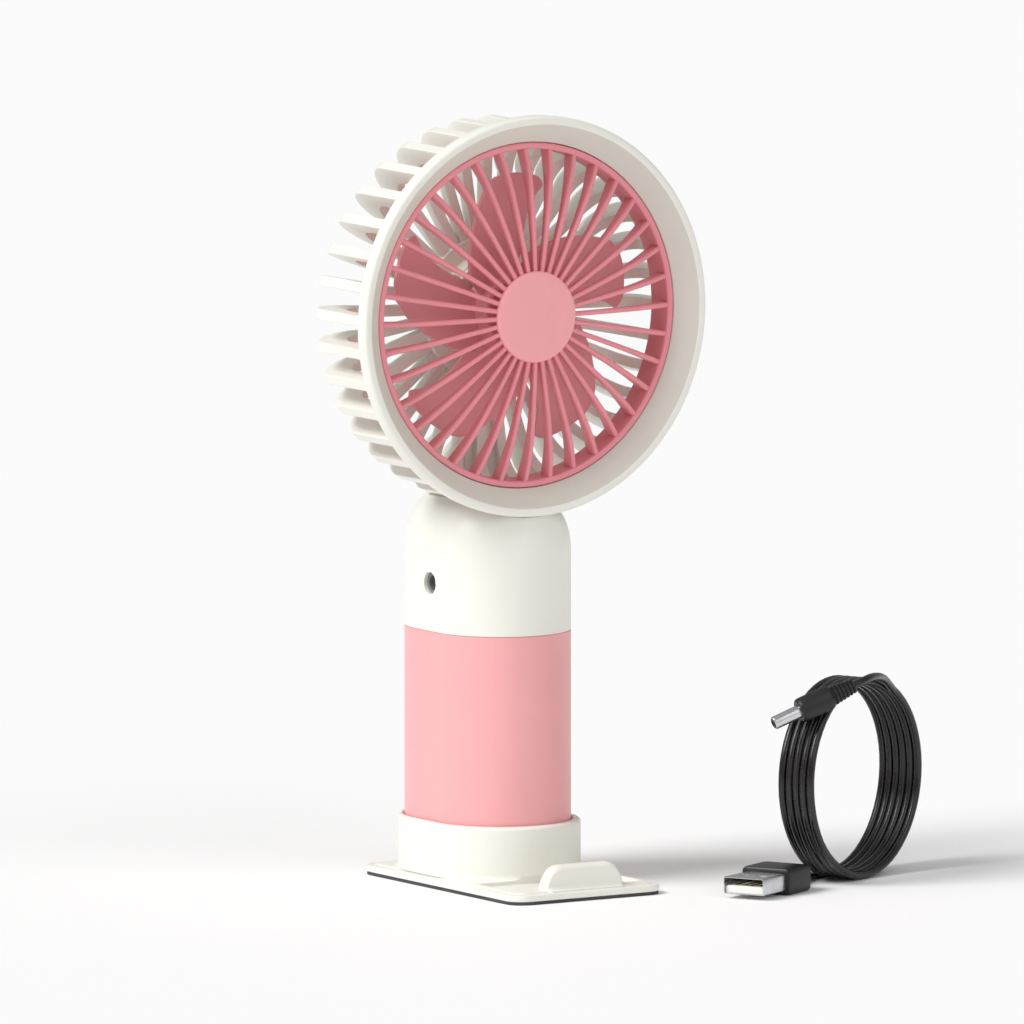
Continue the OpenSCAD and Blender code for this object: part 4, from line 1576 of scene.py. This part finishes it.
    def build(self) -> None:
        """Make the whole lead."""
        pieces = self.charging_plug() + self.usb_plug()
        path = self.route()
        cord = self.tube("charging_cord", path, self.cord_r)
        nodes = ["lead_coil", "lead_to_plug", "lead_to_usb"]
        finish_piece(cord, self.palette, "cord_black", Body.LEAD, nodes)
        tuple(path[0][:])


# ---------------------------------------------------------------- inner pieces


@dataclass
class Innards:
    """The pieces inside the fan, kept in their CAD shapes with softened edges and real finishes."""

    palette: Palette
    soft: dict[str, float] = field(default_factory=lambda: {
        "bottom_cap": 0.3, "power_button": 0.3, "rear_cap": 0.3, "jack_housing": 0.15,
        "indicator_lens": 0.2, "motor_can": 0.25, "motor_end_cap": 0.2, "circuit_board": 0.05,
        "tact_switch": 0.15, "battery_cell": 0.6, "chassis": 0.2, "head_screws": 0.15,
        "cap_screws": 0.15, "clamp_screws": 0.12, "board_screws": 0.1, "motor_clamp": 0.2,
        "board_parts": 0.15, "jack_pin": 0.15, "motor_shaft": 0.1, "cage_hoop": 0.1,
    })

    def bodies(self) -> dict[str, str]:
        """Return each node's body, from the record."""
        listed = frame["record"]["behaviour"]["bodies"]
        return {node: body for body, nodes in listed.items() for node in nodes}

    def finish(self, node: str, slot: str, body: Body) -> None:
        """Replace one node by a merged copy of it with softened edges.

        Args:
            node: the CAD node.
            slot: its material slot.
            body: its body.
        """
        made = bpy.data.objects.new(f"{node}_piece", frame["nodes"][node].data.copy())
        bpy.context.collection.objects.link(made)
        b = bmesh.new()
        b.from_mesh(made.data)
        bmesh.ops.remove_doubles(b, verts=b.verts, dist=2e-6)
        bmesh.ops.dissolve_limit(b, angle_limit=math.radians(0.5), verts=b.verts, edges=b.edges)
        b.to_mesh(made.data)
        b.free()
        tidy(made, 32, 2e-6)
        soften(made, self.soft.get(node, 0.08), 50, 2)
        bake_modifiers(made)
        finish_piece(made, self.palette, slot, body, [node])

    def build(self, done: set[str]) -> None:
        """Finish every node that no other class has replaced.

        Args:
            done: nodes that are already replaced.
        """
        slots = {s["node"]: s["material_slot"] for s in frame["record"]["subparts"]}
        bodies = self.bodies()
        for node, slot in slots.items():
            if node in done:
                continue
            if node in self.soft:
                self.finish(node, slot, Body(bodies[node]))
                continue
            mesh = frame["nodes"][node].data
            mesh.materials.clear()
            mesh.materials.append(self.palette.get(slot))
            LOG.info("dressed %s", node)


# ---------------------------------------------------------------- studio


@dataclass
class Studio:
    """Pale floor, soft lights and the camera."""

    azimuth: float = -32.0
    elevation: float = 7.1
    frame_width: float = 267.4
    lens: float = 1200.0
    across: float = 6.35
    height: float = 96.5

    def camera(self) -> None:
        """Set the camera on a long lens, level with its own horizon."""
        a, e = math.radians(self.azimuth), math.radians(self.elevation)
        way = Vector((math.sin(a) * math.cos(e), -math.cos(a) * math.cos(e), math.sin(e)))
        right = Vector((math.cos(a), math.sin(a), 0))
        target = (right * self.across + Vector((0, 0, self.height))) * MM
        distance = self.frame_width * MM * self.lens / 36.0
        data = bpy.data.cameras.new("camera")
        data.lens, data.sensor_width, data.clip_end = self.lens, 36.0, 50.0
        eye = bpy.data.objects.new("camera", data)
        bpy.context.collection.objects.link(eye)
        eye.location = target + way * distance
        eye.rotation_euler = way.to_track_quat("Z", "Y").to_euler()
        bpy.context.scene.camera = eye

    def floor(self) -> None:
        """Lay a wide pale floor."""
        maker = MeshMaker("floor")
        half = 12.0
        maker.add([Vector((x * half, y * half, 0)) for x, y in ((-1, -1), (1, -1), (1, 1), (-1, 1))],
                  [(0, 1, 2, 3)])
        made = maker.build()
        s = Shader("floor_white")
        base = linear("FFFFFF")
        s.join(s.blend(s.noise(s.place(), 1.5), shade(base, 0.985), base), s.surface.inputs["Base Color"])
        s.set(Roughness=0.75, Specular_IOR_Level=0.2)
        made.data.materials.append(s.material)

    def light(self, name: str, way: Point3, softness: float, strength: float) -> None:
        """Hang one soft far light, which lights the floor evenly.

        Args:
            name: the light's name.
            way: direction from the object to the light.
            softness: angle that the light fills, in degrees.
            strength: its strength in watts a square metre.
        """
        data = bpy.data.lights.new(name, "SUN")
        data.angle, data.energy = math.radians(softness), strength
        lamp = bpy.data.objects.new(name, data)
        bpy.context.collection.objects.link(lamp)
        lamp.location = Vector(way)
        lamp.rotation_euler = Vector(way).to_track_quat("Z", "Y").to_euler()

    def build(self) -> None:
        """Set the camera, the floor and the lights."""
        self.camera()
        self.floor()
        world = bpy.data.worlds.new("studio")
        world.use_nodes = True
        back = world.node_tree.nodes["Background"]
        back.inputs["Color"].default_value = (1, 1, 1, 1)
        back.inputs["Strength"].default_value = 0.38
        bpy.context.scene.world = world
        self.light("key", (-1.0, 0.1, 1.0), 30, 2.35)
        self.light("fill", (0.1, -1.0, 0.7), 50, 0.55)
        bpy.context.scene.view_settings.view_transform = "Standard"


def main() -> None:
    """Build the studio and every piece in order."""
    logging.basicConfig(level=logging.INFO, format="%(name)s: %(message)s")
    palette = Palette()
    Studio().build()
    Lead(palette).build()
    head = Head(palette)
    head.build()
    Handle(palette).build(head.centre)
    Dock(palette).build()
    Innards(palette).build({
        "lead_coil", "lead_to_plug", "lead_to_usb", "dc_plug_body", "dc_plug_barrel",
        "dc_plug_insulator", "usb_plug_body", "usb_shell", "usb_tongue", "front_bezel",
        "front_grille", "grille_badge", "rear_cage", "impeller", "handle_sleeve", "neck_shell",
        "dock_base", "dock_pad",
    })


if __name__ == "__main__":
    main()
